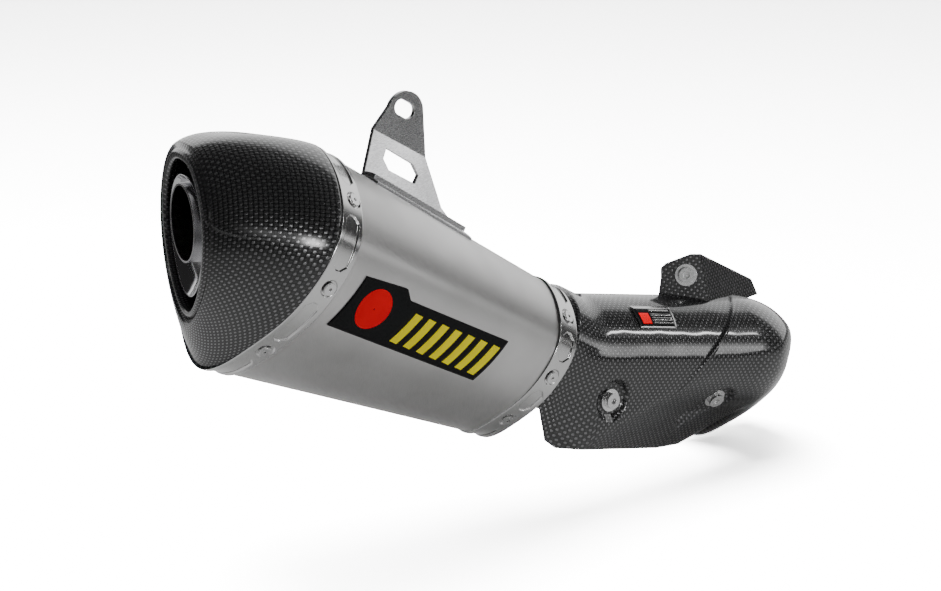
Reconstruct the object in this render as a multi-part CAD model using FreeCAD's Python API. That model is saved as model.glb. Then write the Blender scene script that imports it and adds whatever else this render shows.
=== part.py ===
import FreeCAD, Part
import math
import os
from FreeCAD import Placement, Rotation, Vector

# Racing exhaust: a tapered six-sided muffler with a moulded end cap, its link pipe and heat shield.
# Row frame: origin at the centre of the inlet mouth, +X forward, +Y inboard, +Z up, millimetres.
# Muffler frame: origin on the front ring's front plane, x outboard, y up, z back to the outlet.

# Muffler body
PITCH = math.radians(29.2)
BODY_LENGTH = 244.0
RING_WIDTH = 20.0
RING_THICKNESS = 1.3
SHEET = 1.0
SLEEVE_SETBACK = 2.0
PLATE_SHEET = 1.5
FRONT_CAP_START = 3.0
FRONT_CAP_END = 17.0

# SLIP is the gap between mating pieces. Cutting tools run PAST what they cut. Half spaces are BOX_SIZE boxes.
SLIP = 0.05
PAST = 1.0
BOX_SIZE = 600.0
FRONT_WIDTH_SCALE = 0.66
FRONT_HEIGHT_SCALE = 0.7257
CENTRE_DROP = 12.0
HALF_WIDTH = 77.0
HALF_HEIGHT = 76.0
BODY_OUTLINE = ((0, 75), (21, 76), (42, 68), (61, 53), (77, 28), (75, -2), (61, -30), (36, -56), (0, -76.5),
                (-36, -56), (-61, -30), (-75, -2), (-76, 25), (-60, 48), (-42, 63), (-21, 72))
RIVET_SPOTS = (3.1, 5.1, 6.9, 9.1, 10.9, 12.9)
RIVET_HEAD_RADIUS = 4.2
RIVET_TAIL_RADIUS = 3.4
RIVET_SHANK_RADIUS = 2.0
RIVET_HOLLOW_RADIUS = 1.1
RIVET_FLANGE = 1.2
RIVET_GRIP = 6.7
FRONT_RIVET_Z = RING_WIDTH / 2
REAR_RIVET_Z = BODY_LENGTH - 12.0

# Outlet
OUTLET_TURN = math.radians(16.4)
OUTLET_CENTRE = Vector(-6.2, -11.9, 293.9)
CAP_WALL = 2.2
CAP_STEP = 0.3
CAP_HANDLE = 0.4
CAP_TAPER = 1.5
CAP_STATIONS = (0.0, 0.33, 0.67, 1.0)
CAP_CHAMBER_END = 0.95
FLANGE_LENGTH = 18.0
CAP_END_OUTLINE = ((0, 46), (17, 44), (33, 35), (43, 20), (46, 1), (43, -18), (34, -36), (18, -53), (0, -60))
OPENING_OUTLINE = ((0, 39), (14, 37), (27, 28), (35.5, 14), (38.5, -4), (34.5, -22), (26, -38), (13, -51),
                   (0, -55))
CUP_OUTLINE = ((0, 29.5), (13, 28), (24, 21), (31.5, 9), (34, -5), (30, -20), (22, -34), (11, -43.5),
               (0, -46.5))
CUP_WALL = 1.2
CUP_BACK = 12.0
CUP_FRONT = 2.3
CUP_FLOOR = 3.0
CUP_MEAN_RADIUS = 34.0
OUTLET_RADIUS = 24.5
OUTLET_STRAIGHT = 13.0
OUTLET_EASE = 16.0
TUBE_WALL = 1.2

# Core and bulkheads
INLET_RISE = 20.0
CORE_RADIUS = 26.0
CORE_START = 18.0
CORE_END = 236.0
BULKHEAD_Z = 222.0
CORE_END_SIDE = 3.0
CORE_END_RISE = 4.0
PERFORATION_RADIUS = 2.5
PERFORATION_ROWS = 14
PERFORATIONS_PER_ROW = 8
PERFORATION_MARGIN = 20.0
WOOL_START = 19.0
WOOL_INSET = 4.0
WOOL_CLEARANCE = 0.4
BULKHEAD_END = 240.0

# Link pipe
PIPE_RADIUS = 27.0
PIPE_WALL = 1.5
INLET_FALL = math.radians(30.0)
RUN_SLOPE = math.radians(10.0)
STUB_LENGTH = 40.0
ELBOW_RADIUS = 62.0
RUN_LENGTH = 145.0
BEND_RADIUS = 75.0
TAIL_LENGTH = 24.0
PIPE_INSIDE = 6.0
PIPE_START = 28.2
SOCKET_LENGTH = 36.0
INLET_BORE_LENGTH = 24.0
GROOVE_DEPTH = 0.9
GASKET_LENGTH = 4.0
GASKET_INSET = 1.0
COLLAR_LENGTH = 26.0
COLLAR_INSIDE = 14.0
COLLAR_WALL = 1.5
SLIT_WIDTH = 2.0
SLIT_LENGTH = 16.0
SOCKET_INNER = PIPE_RADIUS + SLIP
SOCKET_OUTER = SOCKET_INNER + COLLAR_WALL

# Band clamps
BAND_WIDTH = 18.0
BAND_THICKNESS = 1.5
CLAMP_SETBACK = 1.5
EAR_GAP = 9.0
EAR_HEIGHT = 17.0
EAR_THICKNESS = 2.0
EAR_ROOT = 4.0
BOLT_RADIUS = 3.0
BOLT_CLEARANCE = 0.06
BOLT_FLANGE_RADIUS = 6.5
BOLT_FLANGE = 1.2
BOLT_HEAD_RADIUS = 5.8
BOLT_HEAD = 4.5
BOLT_DRIVE_RADIUS = 2.2
BOLT_DRIVE_DEPTH = 3.0
BOLT_TAIL = 10.0
NUT_RADIUS = 6.0
NUT_FLANGE_RADIUS = 6.8
NUT_HEIGHT = 5.5
INLET_EARS = Vector(0.2, 1.0, 0.5)
JOINT_EARS = Vector(0.0, 1.0, 0.0)

# Hanger bracket, in the muffler frame
PLATE_THICKNESS = 3.0
SADDLE_THICKNESS = 1.6
SADDLE_START = 100.0
SADDLE_LENGTH = 90.0
SADDLE_WIDTH = 44.0
SADDLE_SIDE = -18.0
FOOT_START = 101.0
FOOT_LENGTH = 87.0
FOOT_WIDTH = 13.0
BRACKET_BASE = 55.0
BRACKET_TOP = 130.0
BRACKET_FOLD_HEIGHT = 94.3
BRACKET_LEAN = math.radians(10.0)
BRACKET_SPREAD = math.tan(BRACKET_LEAN) * (BRACKET_FOLD_HEIGHT - BRACKET_BASE)
SLOT_CENTRE = (173.4, 115.5)
SLOT_LENGTH = 17.0
SLOT_HEIGHT = 10.5
# Plate corners as (z, y): up the rear edge, over the rounded top, then down the front edge.
BRACKET_REAR_EDGE = ((101, 50), (188, 50), (188, 66), (190.5, 95), (186, 112))
BRACKET_TOP_ARC = ((186, 112), (177.5, 126.5), (160, 122.5))
BRACKET_FRONT_EDGE = ((160, 122.5), (142, 94), (117, 69), (101, 62), (101, 50))
BRACKET_WINDOW = ((176, 87), (151, 86), (144, 81), (145, 75), (169, 75), (176, 80))

# Sleeve badge, in the muffler frame, corners as (y, z)
BADGE_THICKNESS = 0.65
BADGE_CORNERS = ((-36, 213), (0.5, 209), (5, 172), (-1, 165), (4, 66), (-28, 71))

# Heat shield
SHIELD_RADIUS = 40.0
SHIELD_WALL = 1.6
SKIRT_REACH = 36.0
UNDER_NORMAL = Vector(0.12, -0.89, -0.45)
UNDER_POINT = Vector(-116.0, -36.0, -18.6)
RECESS_RADIUS = 12.5
RECESS_DEPTH = 3.0
BUSH_LENGTH = 4.0
BUSH_RADIUS = 7.5
BUSH_GAP = 0.3
WASHER_RADIUS = 8.0
WASHER_THICKNESS = 1.2
SCREW_RADIUS = 3.0
SCREW_HOLE = 0.2
SCREW_HEAD_RADIUS = 5.6
SCREW_HEAD = 3.4
DRIVE_RADIUS = 2.4
COLUMN_RADIUS = 6.5
LUG_PLATE = 2.5
LUG_WIDTH = 16.0
LUG_REACH = 60.0
LUG_ABOVE = 10.0
LUG_LENGTHS = (26.0, 14.0)
WELD_NUT_RADIUS = 5.5
WELD_NUT = 5.0
# Skirt, side edges and open inboard edge, as corners from the run's start: (x, z), (x, z) and (x, y).
SKIRT_SIDE = ((-214, -79), (-214, 37.7), (0, 0), (30, -19), (30, -79))
SHIELD_SIDE = ((-159, 92), (-204.5, 10.5), (-198, 0), (-198, -21.5), (-189, -28.5), (-71, -58.5), (-6, -68),
               (114, -68), (114, 92))
SHIELD_PLAN = ((-246, -63), (114, -63), (114, 24), (-246, 18))
# Half pipe that goes on round the inlet: where it starts, which side it keeps and its outboard and rear limit.
LEG_START = 2.0
LEG_OPENING = Vector(0.14, -0.49, -0.86)
LEG_LIMIT = Vector(-10.0, 22.0, 0.0)
# Flat facets cut off the nose below the elbow: a point from the run's start, and the outward normal.
NOSE_FACETS = (((45.2, -26.1, -13.9), (0.628, -0.752, -0.202)), ((25.7, -26.1, -33.6), (0.364, -0.663, -0.654)),
               ((-21.9, -26.1, -48.8), (0.166, -0.534, -0.829)))
# Tab corners, from the run's start: the left facet carries the screw, the right one falls to the elbow.
TAB_LEFT = ((-52.7, 10.5, 42.4), (-49.2, 11.1, 59.4), (-48.2, 12.3, 67.2), (-45.1, 10.7, 70.4),
            (-30.3, 0.4, 77.0), (-24.6, -4.3, 77.0), (-23.2, -13.8, 36.0))
TAB_RIGHT = ((-24.6, -4.3, 77.0), (51.3, 16.7, 42.6), (57.8, 17.7, 29.4), (-23.2, -13.8, 36.0))

# Shield badge, on the run: corners as (x, z) from the run's start
SHIELD_BADGE_THICKNESS = 1.0
SHIELD_BADGE_CORNERS = ((-109, 55.7), (-71.7, 49), (-75.8, 36.7), (-110, 43))


def unit(vector):
    return Vector(vector) / vector.Length


def mirrored(half_outline):
    """Close a right-hand half outline by mirroring it in the vertical axis."""
    left = [(-x, y) for x, y in reversed(half_outline[1:-1])]
    return list(half_outline) + left


def spline_wire(points):
    curve = Part.BSplineCurve()
    knots = [float(k) for k in range(len(points) + 1)]
    curve.interpolate(Points=points, PeriodicFlag=True, Parameters=knots)
    return Part.Wire(curve.toShape())


def flat_face(points):
    return Part.Face(Part.makePolygon(list(points) + [points[0]]))


def tube(outer, inner, start, length, base, axis):
    origin = base + axis * start
    solid = Part.makeCylinder(outer, length, origin, axis)
    return solid.cut(Part.makeCylinder(inner, length + 2 * PAST, origin - axis * PAST, axis))


def placed(shape, place):
    moved = shape.copy()
    moved.Placement = place
    return moved


def facing(centre, axis):
    """Placement whose z axis points along axis."""
    return Placement(centre, Rotation(Vector(0, 0, 1), axis))


def hexagon(radius, height, base, axis):
    """Hexagonal prism of the given corner radius."""
    corners = []
    side = unit(axis.cross(Vector(0.3, 0.2, 1)))
    for k in range(6):
        corners.append(base + Rotation(axis, 60 * k).multVec(side) * radius)
    return flat_face(corners).extrude(axis * height)


def biggest(shape):
    return max(shape.Solids, key=lambda solid: solid.Volume)


def half_space(point, normal):
    """Box that fills the side of a plane its normal points to."""
    box = Part.makeBox(BOX_SIZE, BOX_SIZE, BOX_SIZE, Vector(-BOX_SIZE / 2, -BOX_SIZE / 2, 0))
    return placed(box, facing(point, unit(normal)))


# ---------------------------------------------------------------- frames and the pipe's path

OUTBOARD = Vector(0, -1, 0)
RISE = Vector(math.sin(PITCH), 0, math.cos(PITCH))
REARWARD = Vector(-math.cos(PITCH), 0, math.sin(PITCH))
INLET_AXIS = Vector(0, -math.cos(INLET_FALL), math.sin(INLET_FALL))
RUN_AXIS = Vector(-math.cos(RUN_SLOPE), 0, math.sin(RUN_SLOPE))


def bend(start, first, last, radius):
    """Centre, axis, angle and end point of an arc that turns first into last."""
    axis = unit(first.cross(last))
    centre = start + axis.cross(first) * radius
    angle = first.getAngle(last)
    spoke = Rotation(axis, math.degrees(angle)).multVec(start - centre)
    return centre, axis, angle, centre + spoke


ELBOW_START = INLET_AXIS * STUB_LENGTH
ELBOW_CENTRE, ELBOW_AXIS, ELBOW_ANGLE, RUN_START = bend(ELBOW_START, INLET_AXIS, RUN_AXIS, ELBOW_RADIUS)
RUN_END = RUN_START + RUN_AXIS * RUN_LENGTH
BEND_CENTRE, BEND_AXIS, BEND_ANGLE, TAIL_START = bend(RUN_END, RUN_AXIS, REARWARD, BEND_RADIUS)
JOINT_CENTRE = TAIL_START + REARWARD * TAIL_LENGTH
MUFFLER_ORIGIN = JOINT_CENTRE - RISE * INLET_RISE
MUFFLER_PLACE = Placement(MUFFLER_ORIGIN, Rotation(OUTBOARD, RISE, REARWARD, "ZXY"))


def in_row(shape):
    """Move a muffler-frame shape into the row frame."""
    moved = shape.copy()
    moved.Placement = MUFFLER_PLACE.multiply(shape.Placement)
    return moved


# ---------------------------------------------------------------- muffler body

def body_points(z, grow=0.0):
    share = z / BODY_LENGTH
    wide = FRONT_WIDTH_SCALE + (1 - FRONT_WIDTH_SCALE) * share + grow / HALF_WIDTH
    high = FRONT_HEIGHT_SCALE + (1 - FRONT_HEIGHT_SCALE) * share + grow / HALF_HEIGHT
    return [Vector(x * wide, y * high - CENTRE_DROP * share, z) for x, y in BODY_OUTLINE]


def body_loft(start, end, grow):
    wires = [spline_wire(body_points(z, grow)) for z in (start, end)]
    return Part.makeLoft(wires, True, True)


def body_band(start, end, outer, inner):
    return body_loft(start, end, outer).cut(body_loft(start - PAST, end + PAST, inner))


def body_curve(z, grow):
    curve = Part.BSplineCurve()
    knots = [float(k) for k in range(len(BODY_OUTLINE) + 1)]
    curve.interpolate(Points=body_points(z, grow), PeriodicFlag=True, Parameters=knots)
    return curve


def body_frame(z, spot, grow):
    """Point on the body's surface and its outward normal."""
    curve = body_curve(z, grow)
    point = curve.value(spot)
    along = unit(curve.tangent(spot)[0])
    back = body_curve(z + 1, grow).value(spot) - point
    normal = unit(along.cross(back))
    if normal.dot(Vector(point.x, point.y, 0)) < 0:
        normal = -normal
    return point, normal


def rivets(z):
    """Six blind rivets, each a head, a shank and a pulled tail in one solid."""
    solids = []
    for spot in RIVET_SPOTS:
        point, normal = body_frame(z, spot, RING_THICKNESS)
        tail_base = point - normal * (RIVET_GRIP + RIVET_FLANGE)
        shank_base = point - normal * (RIVET_GRIP + PAST / 2)
        head = Part.makeCylinder(RIVET_HEAD_RADIUS, RIVET_FLANGE, point + normal * SLIP, normal)
        tail = Part.makeCylinder(RIVET_TAIL_RADIUS, RIVET_FLANGE, tail_base, normal)
        shank = Part.makeCylinder(RIVET_SHANK_RADIUS, RIVET_GRIP + PAST, shank_base, normal)
        hollow = Part.makeCylinder(RIVET_HOLLOW_RADIUS, RIVET_GRIP, point - normal * RIVET_GRIP / 2, normal)
        solids.append(head.fuse([tail, shank]).cut(hollow))
    return Part.makeCompound(solids)


def with_rivet_holes(shape, z):
    holes = []
    for spot in RIVET_SPOTS:
        point, normal = body_frame(z, spot, RING_THICKNESS)
        base = point - normal * (RIVET_GRIP + RIVET_FLANGE)
        length = RIVET_GRIP + 2 * RIVET_FLANGE + PAST
        holes.append(Part.makeCylinder(RIVET_SHANK_RADIUS + SLIP, length, base, normal))
    return shape.cut(holes)


def make_sleeve():
    shell = body_band(SLEEVE_SETBACK, BODY_LENGTH - SLEEVE_SETBACK, 0.0, -SHEET)
    return with_rivet_holes(with_rivet_holes(shell, FRONT_RIVET_Z), REAR_RIVET_Z)


def make_front_ring():
    return with_rivet_holes(body_band(0.0, RING_WIDTH, RING_THICKNESS, SLIP), FRONT_RIVET_Z)


def make_rear_ring():
    band = body_band(BODY_LENGTH - RING_WIDTH, BODY_LENGTH, RING_THICKNESS, SLIP)
    return with_rivet_holes(band, REAR_RIVET_Z)


def make_front_cap():
    """Dished sheet that closes the body's front and carries the inlet collar."""
    outer = -SHEET - SLIP
    hollow = body_loft(FRONT_CAP_START + PLATE_SHEET, FRONT_CAP_END + PAST, outer - PLATE_SHEET)
    cup = body_loft(FRONT_CAP_START, FRONT_CAP_END, outer).cut(hollow)
    hole = Part.makeCylinder(SOCKET_OUTER + SLIP, FRONT_CAP_END, Vector(0, INLET_RISE, 0))
    return with_rivet_holes(cup.cut(hole), FRONT_RIVET_Z)


# ---------------------------------------------------------------- core

CORE_FROM = Vector(0, INLET_RISE, CORE_START)
CORE_TO = Vector(CORE_END_SIDE, CORE_END_RISE, CORE_END)
CORE_AXIS = unit(CORE_TO - CORE_FROM)
CORE_SPAN = (CORE_TO - CORE_FROM).Length


def make_core_tube():
    core = tube(CORE_RADIUS, CORE_RADIUS - TUBE_WALL, 0, CORE_SPAN, CORE_FROM, CORE_AXIS)
    side = unit(CORE_AXIS.cross(Vector(1, 0, 0)))
    holes = []
    pitch = (CORE_SPAN - 2 * PERFORATION_MARGIN) / (PERFORATION_ROWS - 1)
    for row in range(PERFORATION_ROWS):
        centre = CORE_FROM + CORE_AXIS * (PERFORATION_MARGIN + pitch * row)
        for k in range(PERFORATIONS_PER_ROW // 2):
            angle = 360.0 / PERFORATIONS_PER_ROW * (k + 0.5 * (row % 2))
            way = Rotation(CORE_AXIS, angle).multVec(side)
            start = centre - way * (CORE_RADIUS + PAST)
            holes.append(Part.makeCylinder(PERFORATION_RADIUS, 2 * (CORE_RADIUS + PAST), start, way))
    return core.cut(holes)


def make_packing():
    """Solid block of packing round the core."""
    wool = body_loft(WOOL_START, BULKHEAD_Z - PAST, -WOOL_INSET)
    start = CORE_FROM - CORE_AXIS * CORE_RADIUS
    length = CORE_SPAN + 2 * CORE_RADIUS
    return wool.cut(Part.makeCylinder(CORE_RADIUS + WOOL_CLEARANCE, length, start, CORE_AXIS))


def make_rear_bulkhead():
    """Flanged plate behind the packing that carries the core's rear end."""
    inner = -SHEET - SLIP - CAP_WALL - SLIP
    hollow = body_loft(BULKHEAD_Z + PLATE_SHEET, BULKHEAD_END + PAST, inner - PLATE_SHEET)
    plate = body_loft(BULKHEAD_Z, BULKHEAD_END, inner).cut(hollow)
    start = CORE_TO - CORE_AXIS * CORE_RADIUS
    hole = Part.makeCylinder(CORE_RADIUS + SLIP, 2 * CORE_RADIUS, start, CORE_AXIS)
    return with_rivet_holes(plate.cut(hole), REAR_RIVET_Z)


# ---------------------------------------------------------------- outlet

OUTLET_AXIS = Vector(-math.sin(OUTLET_TURN),
                     -math.cos(OUTLET_TURN) * math.sin(PITCH),
                     math.cos(OUTLET_TURN) * math.cos(PITCH))
OUTLET_UP = Vector(0, math.cos(PITCH), math.sin(PITCH))
OUTLET_SIDE = OUTLET_UP.cross(OUTLET_AXIS)


def outlet_wire(half_outline, offset, scale=1.0):
    """Outline drawn on a plane parallel to the outlet face, offset along the outlet axis."""
    centre = OUTLET_CENTRE + OUTLET_AXIS * offset
    flat = mirrored(half_outline)
    return spline_wire([centre + OUTLET_SIDE * (x * scale) + OUTLET_UP * (y * scale) for x, y in flat])


def outlet_prism(half_outline, start, length, scale=1.0):
    face = Part.Face(outlet_wire(half_outline, start, scale))
    return face.extrude(OUTLET_AXIS * length)


def cap_wire(share, grow):
    """Cap section at a share of the way from the ring plane to the outlet face."""
    ring_centre = Vector(0, -CENTRE_DROP, BODY_LENGTH + SLIP)
    reach = (OUTLET_CENTRE - ring_centre).Length
    ahead = Vector(0, 0, 1) * reach * CAP_HANDLE
    back = OUTLET_AXIS * reach * CAP_HANDLE
    s2 = share * share
    s3 = s2 * share
    centre = ring_centre * (2 * s3 - 3 * s2 + 1) + ahead * (s3 - 2 * s2 + share)
    centre = centre + OUTLET_CENTRE * (3 * s2 - 2 * s3) + back * (s3 - s2)
    axis = unit(Vector(0, 0, 1) * (1 - share) + OUTLET_AXIS * share)
    side = unit(Vector(1, 0, 0) * (1 - share) + OUTLET_SIDE * share)
    side = unit(side - axis * side.dot(axis))
    up = axis.cross(side)
    taper = share ** CAP_TAPER
    end_points = mirrored(CAP_END_OUTLINE)
    wide = 1 + grow / HALF_WIDTH
    high = 1 + grow / HALF_HEIGHT
    points = []
    for ring_point, end_point in zip(BODY_OUTLINE, end_points):
        x = (ring_point[0] * (1 - taper) + end_point[0] * taper) * wide
        y = (ring_point[1] * (1 - taper) + end_point[1] * taper) * high
        points.append(centre + side * x + up * y)
    return spline_wire(points)


def cap_loft(grow, last):
    wires = [cap_wire(share * last, grow) for share in CAP_STATIONS]
    return Part.makeLoft(wires, True, False)


def make_outlet_cap():
    """Moulded cap with an inward lip that is bonded to the cap flange."""
    lip_back = BODY_LENGTH + SLIP + CAP_WALL
    grow = RING_THICKNESS - CAP_STEP
    chamber = cap_loft(grow - CAP_WALL, CAP_CHAMBER_END)
    chamber = chamber.cut(half_space(Vector(0, 0, lip_back), Vector(0, 0, -1)))
    throat = body_loft(BODY_LENGTH - CAP_WALL, lip_back + CAP_WALL, -SHEET - SLIP - 2 * CAP_WALL)
    shell = cap_loft(grow, 1.0).cut(chamber).cut(throat)
    return shell.cut(outlet_prism(OPENING_OUTLINE, -BOX_SIZE / 20, BOX_SIZE / 10))


def make_cap_flange():
    """Ring riveted inside the sleeve that carries the cap."""
    outer = -SHEET - SLIP
    band = body_band(BODY_LENGTH - FLANGE_LENGTH, BODY_LENGTH, outer, outer - CAP_WALL)
    return with_rivet_holes(band, REAR_RIVET_Z)


def make_outlet_cup():
    """Dished insert with a flat floor and a thin upright rim."""
    pan = outlet_prism(CUP_OUTLINE, -CUP_BACK, CUP_BACK - CUP_FRONT)
    hollow = outlet_prism(CUP_OUTLINE, CUP_FLOOR - CUP_BACK, CUP_BACK, 1 - CUP_WALL / CUP_MEAN_RADIUS)
    return pan.cut(hollow).cut(outlet_rod(OUTLET_RADIUS + SLIP))


def outlet_rod(radius):
    """S-bent solid rod from the core's rear end to the mouth."""
    start = CORE_TO + CORE_AXIS * SLIP
    straight_from = OUTLET_CENTRE - OUTLET_AXIS * OUTLET_STRAIGHT
    path = Part.BezierCurve()
    before = straight_from - OUTLET_AXIS * OUTLET_EASE
    path.setPoles([start, start + CORE_AXIS * OUTLET_EASE, before, straight_from])
    ring = Part.Wire(Part.makeCircle(radius, start, CORE_AXIS))
    bent = Part.Wire(path.toShape()).makePipeShell([ring], True, False)
    return bent.fuse(Part.makeCylinder(radius, OUTLET_STRAIGHT, straight_from, OUTLET_AXIS))


def make_outlet_tube():
    return outlet_rod(OUTLET_RADIUS).cut(outlet_rod(OUTLET_RADIUS - TUBE_WALL))


# ---------------------------------------------------------------- link pipe

def pipe_solid(radius, start=0.0):
    """Solid rod of the given radius along the whole pipe path."""
    parts = [Part.makeCylinder(radius, STUB_LENGTH - start, INLET_AXIS * start, INLET_AXIS)]
    for origin, centre, axis, angle, ahead in (
            (ELBOW_START, ELBOW_CENTRE, ELBOW_AXIS, ELBOW_ANGLE, INLET_AXIS),
            (RUN_END, BEND_CENTRE, BEND_AXIS, BEND_ANGLE, RUN_AXIS)):
        face = Part.Face(Part.Wire(Part.makeCircle(radius, origin, ahead)))
        parts.append(face.revolve(centre, axis, math.degrees(angle)))
    parts.append(Part.makeCylinder(radius, RUN_LENGTH, RUN_START, RUN_AXIS))
    parts.append(Part.makeCylinder(radius, TAIL_LENGTH + PIPE_INSIDE, TAIL_START, REARWARD))
    return parts[0].fuse(parts[1:])


def make_link_pipe():
    return pipe_solid(PIPE_RADIUS, PIPE_START).cut(pipe_solid(PIPE_RADIUS - PIPE_WALL, PIPE_START - PAST))


def slits(base, axis, start):
    """Two crossed slots through a collar's mouth, so that a clamp can close it."""
    cuts = []
    upright = Vector(0, 0, 1)
    for angle in (45, 135):
        corner = Vector(-SOCKET_OUTER - PAST, -SLIT_WIDTH / 2, start - PAST)
        block = Part.makeBox(2 * (SOCKET_OUTER + PAST), SLIT_WIDTH, SLIT_LENGTH + PAST, corner)
        turn = Rotation(upright, axis).multiply(Rotation(upright, angle))
        cuts.append(placed(block, Placement(base, turn)))
    return cuts


def make_inlet_socket():
    """Slit socket with a pressed groove for the gasket between the header pipe and the link pipe."""
    socket = tube(SOCKET_OUTER, SOCKET_INNER, 0, SOCKET_LENGTH, Vector(), INLET_AXIS)
    groove_length = PIPE_START - INLET_BORE_LENGTH
    bead = Part.makeCylinder(SOCKET_OUTER + GROOVE_DEPTH, groove_length + 2 * PLATE_SHEET,
                             INLET_AXIS * (INLET_BORE_LENGTH - PLATE_SHEET), INLET_AXIS)
    bead = bead.cut(Part.makeCylinder(SOCKET_INNER, SOCKET_LENGTH, Vector(), INLET_AXIS))
    groove_start = INLET_AXIS * INLET_BORE_LENGTH
    groove = Part.makeCylinder(SOCKET_INNER + GROOVE_DEPTH, groove_length, groove_start, INLET_AXIS)
    return socket.fuse(bead).cut(groove).cut(slits(Vector(), INLET_AXIS, 0))


def make_inlet_gasket():
    start = INLET_BORE_LENGTH + (PIPE_START - INLET_BORE_LENGTH - GASKET_LENGTH) / 2
    inner = PIPE_RADIUS - PIPE_WALL - GASKET_INSET
    return tube(SOCKET_INNER + GROOVE_DEPTH - SLIP, inner, start, GASKET_LENGTH, Vector(), INLET_AXIS)


def make_inlet_collar():
    """Muffler's own collar that slips over the link pipe's tail."""
    base = Vector(0, INLET_RISE, 0)
    axis = Vector(0, 0, 1)
    collar = tube(SOCKET_OUTER, SOCKET_INNER, -COLLAR_LENGTH, COLLAR_LENGTH + COLLAR_INSIDE, base, axis)
    return collar.cut(slits(base, axis, -COLLAR_LENGTH))


# ---------------------------------------------------------------- band clamps

CLAMP_INNER = SOCKET_OUTER + SLIP
CLAMP_OUTER = CLAMP_INNER + BAND_THICKNESS
CLAMP_BOLT_X = CLAMP_OUTER + EAR_HEIGHT / 2
BOLT_SEAT = EAR_GAP / 2 + EAR_THICKNESS + SLIP
SIDEWAYS = Vector(0, 1, 0)


def clamp_band():
    """Band around the z axis with its two ears on +x."""
    base = Vector(0, 0, -BAND_WIDTH / 2)
    past = base - Vector(0, 0, PAST)
    ring = Part.makeCylinder(CLAMP_OUTER, BAND_WIDTH, base)
    for start in (-EAR_GAP / 2 - EAR_THICKNESS, EAR_GAP / 2):
        corner = Vector(CLAMP_OUTER - EAR_ROOT, start, -BAND_WIDTH / 2)
        ring = ring.fuse(Part.makeBox(EAR_HEIGHT + EAR_ROOT, EAR_THICKNESS, BAND_WIDTH, corner))
    bore = Part.makeCylinder(CLAMP_INNER, BAND_WIDTH + 2 * PAST, past)
    gap = Part.makeBox(2 * CLAMP_OUTER, EAR_GAP, BAND_WIDTH + 2 * PAST, past - SIDEWAYS * (EAR_GAP / 2))
    start = Vector(CLAMP_BOLT_X, -BOLT_SEAT - PAST, 0)
    hole = Part.makeCylinder(BOLT_RADIUS + BOLT_CLEARANCE, 2 * (BOLT_SEAT + PAST), start, SIDEWAYS)
    return ring.cut([bore, gap, hole])


def clamp_bolt():
    """Flanged hexagon bolt with a socket drive, its head on the -y side."""
    under_head = Vector(CLAMP_BOLT_X, -BOLT_SEAT, 0)
    top = under_head - SIDEWAYS * (BOLT_FLANGE + BOLT_HEAD)
    flange = Part.makeCylinder(BOLT_FLANGE_RADIUS, BOLT_FLANGE, under_head - SIDEWAYS * BOLT_FLANGE, SIDEWAYS)
    head = hexagon(BOLT_HEAD_RADIUS, BOLT_HEAD, top, SIDEWAYS)
    drive = Part.makeCylinder(BOLT_DRIVE_RADIUS, BOLT_DRIVE_DEPTH, top, SIDEWAYS)
    length = 2 * BOLT_SEAT + BOLT_TAIL
    shank = Part.makeCylinder(BOLT_RADIUS, length, under_head - SIDEWAYS * (BOLT_FLANGE / 2), SIDEWAYS)
    return head.fuse([flange, shank]).cut(drive)


def clamp_nut():
    seat = Vector(CLAMP_BOLT_X, BOLT_SEAT, 0)
    nut = hexagon(NUT_RADIUS, NUT_HEIGHT, seat, SIDEWAYS)
    flange = Part.makeCylinder(NUT_FLANGE_RADIUS, BOLT_FLANGE, seat, SIDEWAYS)
    start = seat - SIDEWAYS * PAST
    bore = Part.makeCylinder(BOLT_RADIUS + BOLT_CLEARANCE, NUT_HEIGHT + 2 * PAST, start, SIDEWAYS)
    return nut.fuse(flange).cut(bore)


def clamp_place(centre, axis, ears):
    """Placement that puts the clamp's z on axis and its ears along the given direction."""
    ears = unit(ears - axis * ears.dot(axis))
    return Placement(centre, Rotation(ears, axis.cross(ears), axis, "ZXY"))


CLAMP_MIDDLE = BAND_WIDTH / 2 + CLAMP_SETBACK
INLET_CLAMP = clamp_place(INLET_AXIS * CLAMP_MIDDLE, INLET_AXIS, INLET_EARS)
JOINT_CLAMP = clamp_place(JOINT_CENTRE - REARWARD * (COLLAR_LENGTH - CLAMP_MIDDLE), REARWARD, JOINT_EARS)


# ---------------------------------------------------------------- hanger bracket

def plate_corner(corner):
    """Point of the plate's side view, well to one side of the plate."""
    z, y = corner
    return Vector(-BODY_LENGTH / 4, y, z)


def across_plate(face):
    return face.extrude(Vector(BODY_LENGTH / 2, 0, 0))


def bracket_profile():
    """Leaning lower plate and upright upper plate as one bent strip, seen along the body."""
    t = PLATE_THICKNESS
    points = [(BRACKET_SPREAD, BRACKET_BASE), (BRACKET_SPREAD + t, BRACKET_BASE), (t, BRACKET_FOLD_HEIGHT),
              (t, BRACKET_TOP), (0, BRACKET_TOP), (0, BRACKET_FOLD_HEIGHT)]
    return flat_face([Vector(x - t / 2, y, SADDLE_START - PAST) for x, y in points])


def bracket_foot():
    """Flange of the bracket, following the saddle's surface."""
    lift = SADDLE_THICKNESS + SLIP
    band = body_band(FOOT_START, FOOT_START + FOOT_LENGTH, lift + PLATE_THICKNESS, lift)
    corner = Vector(BRACKET_SPREAD - PLATE_THICKNESS / 2 - PAST, 0, FOOT_START)
    return band.common(Part.makeBox(FOOT_WIDTH, BODY_LENGTH, FOOT_LENGTH, corner))


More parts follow.
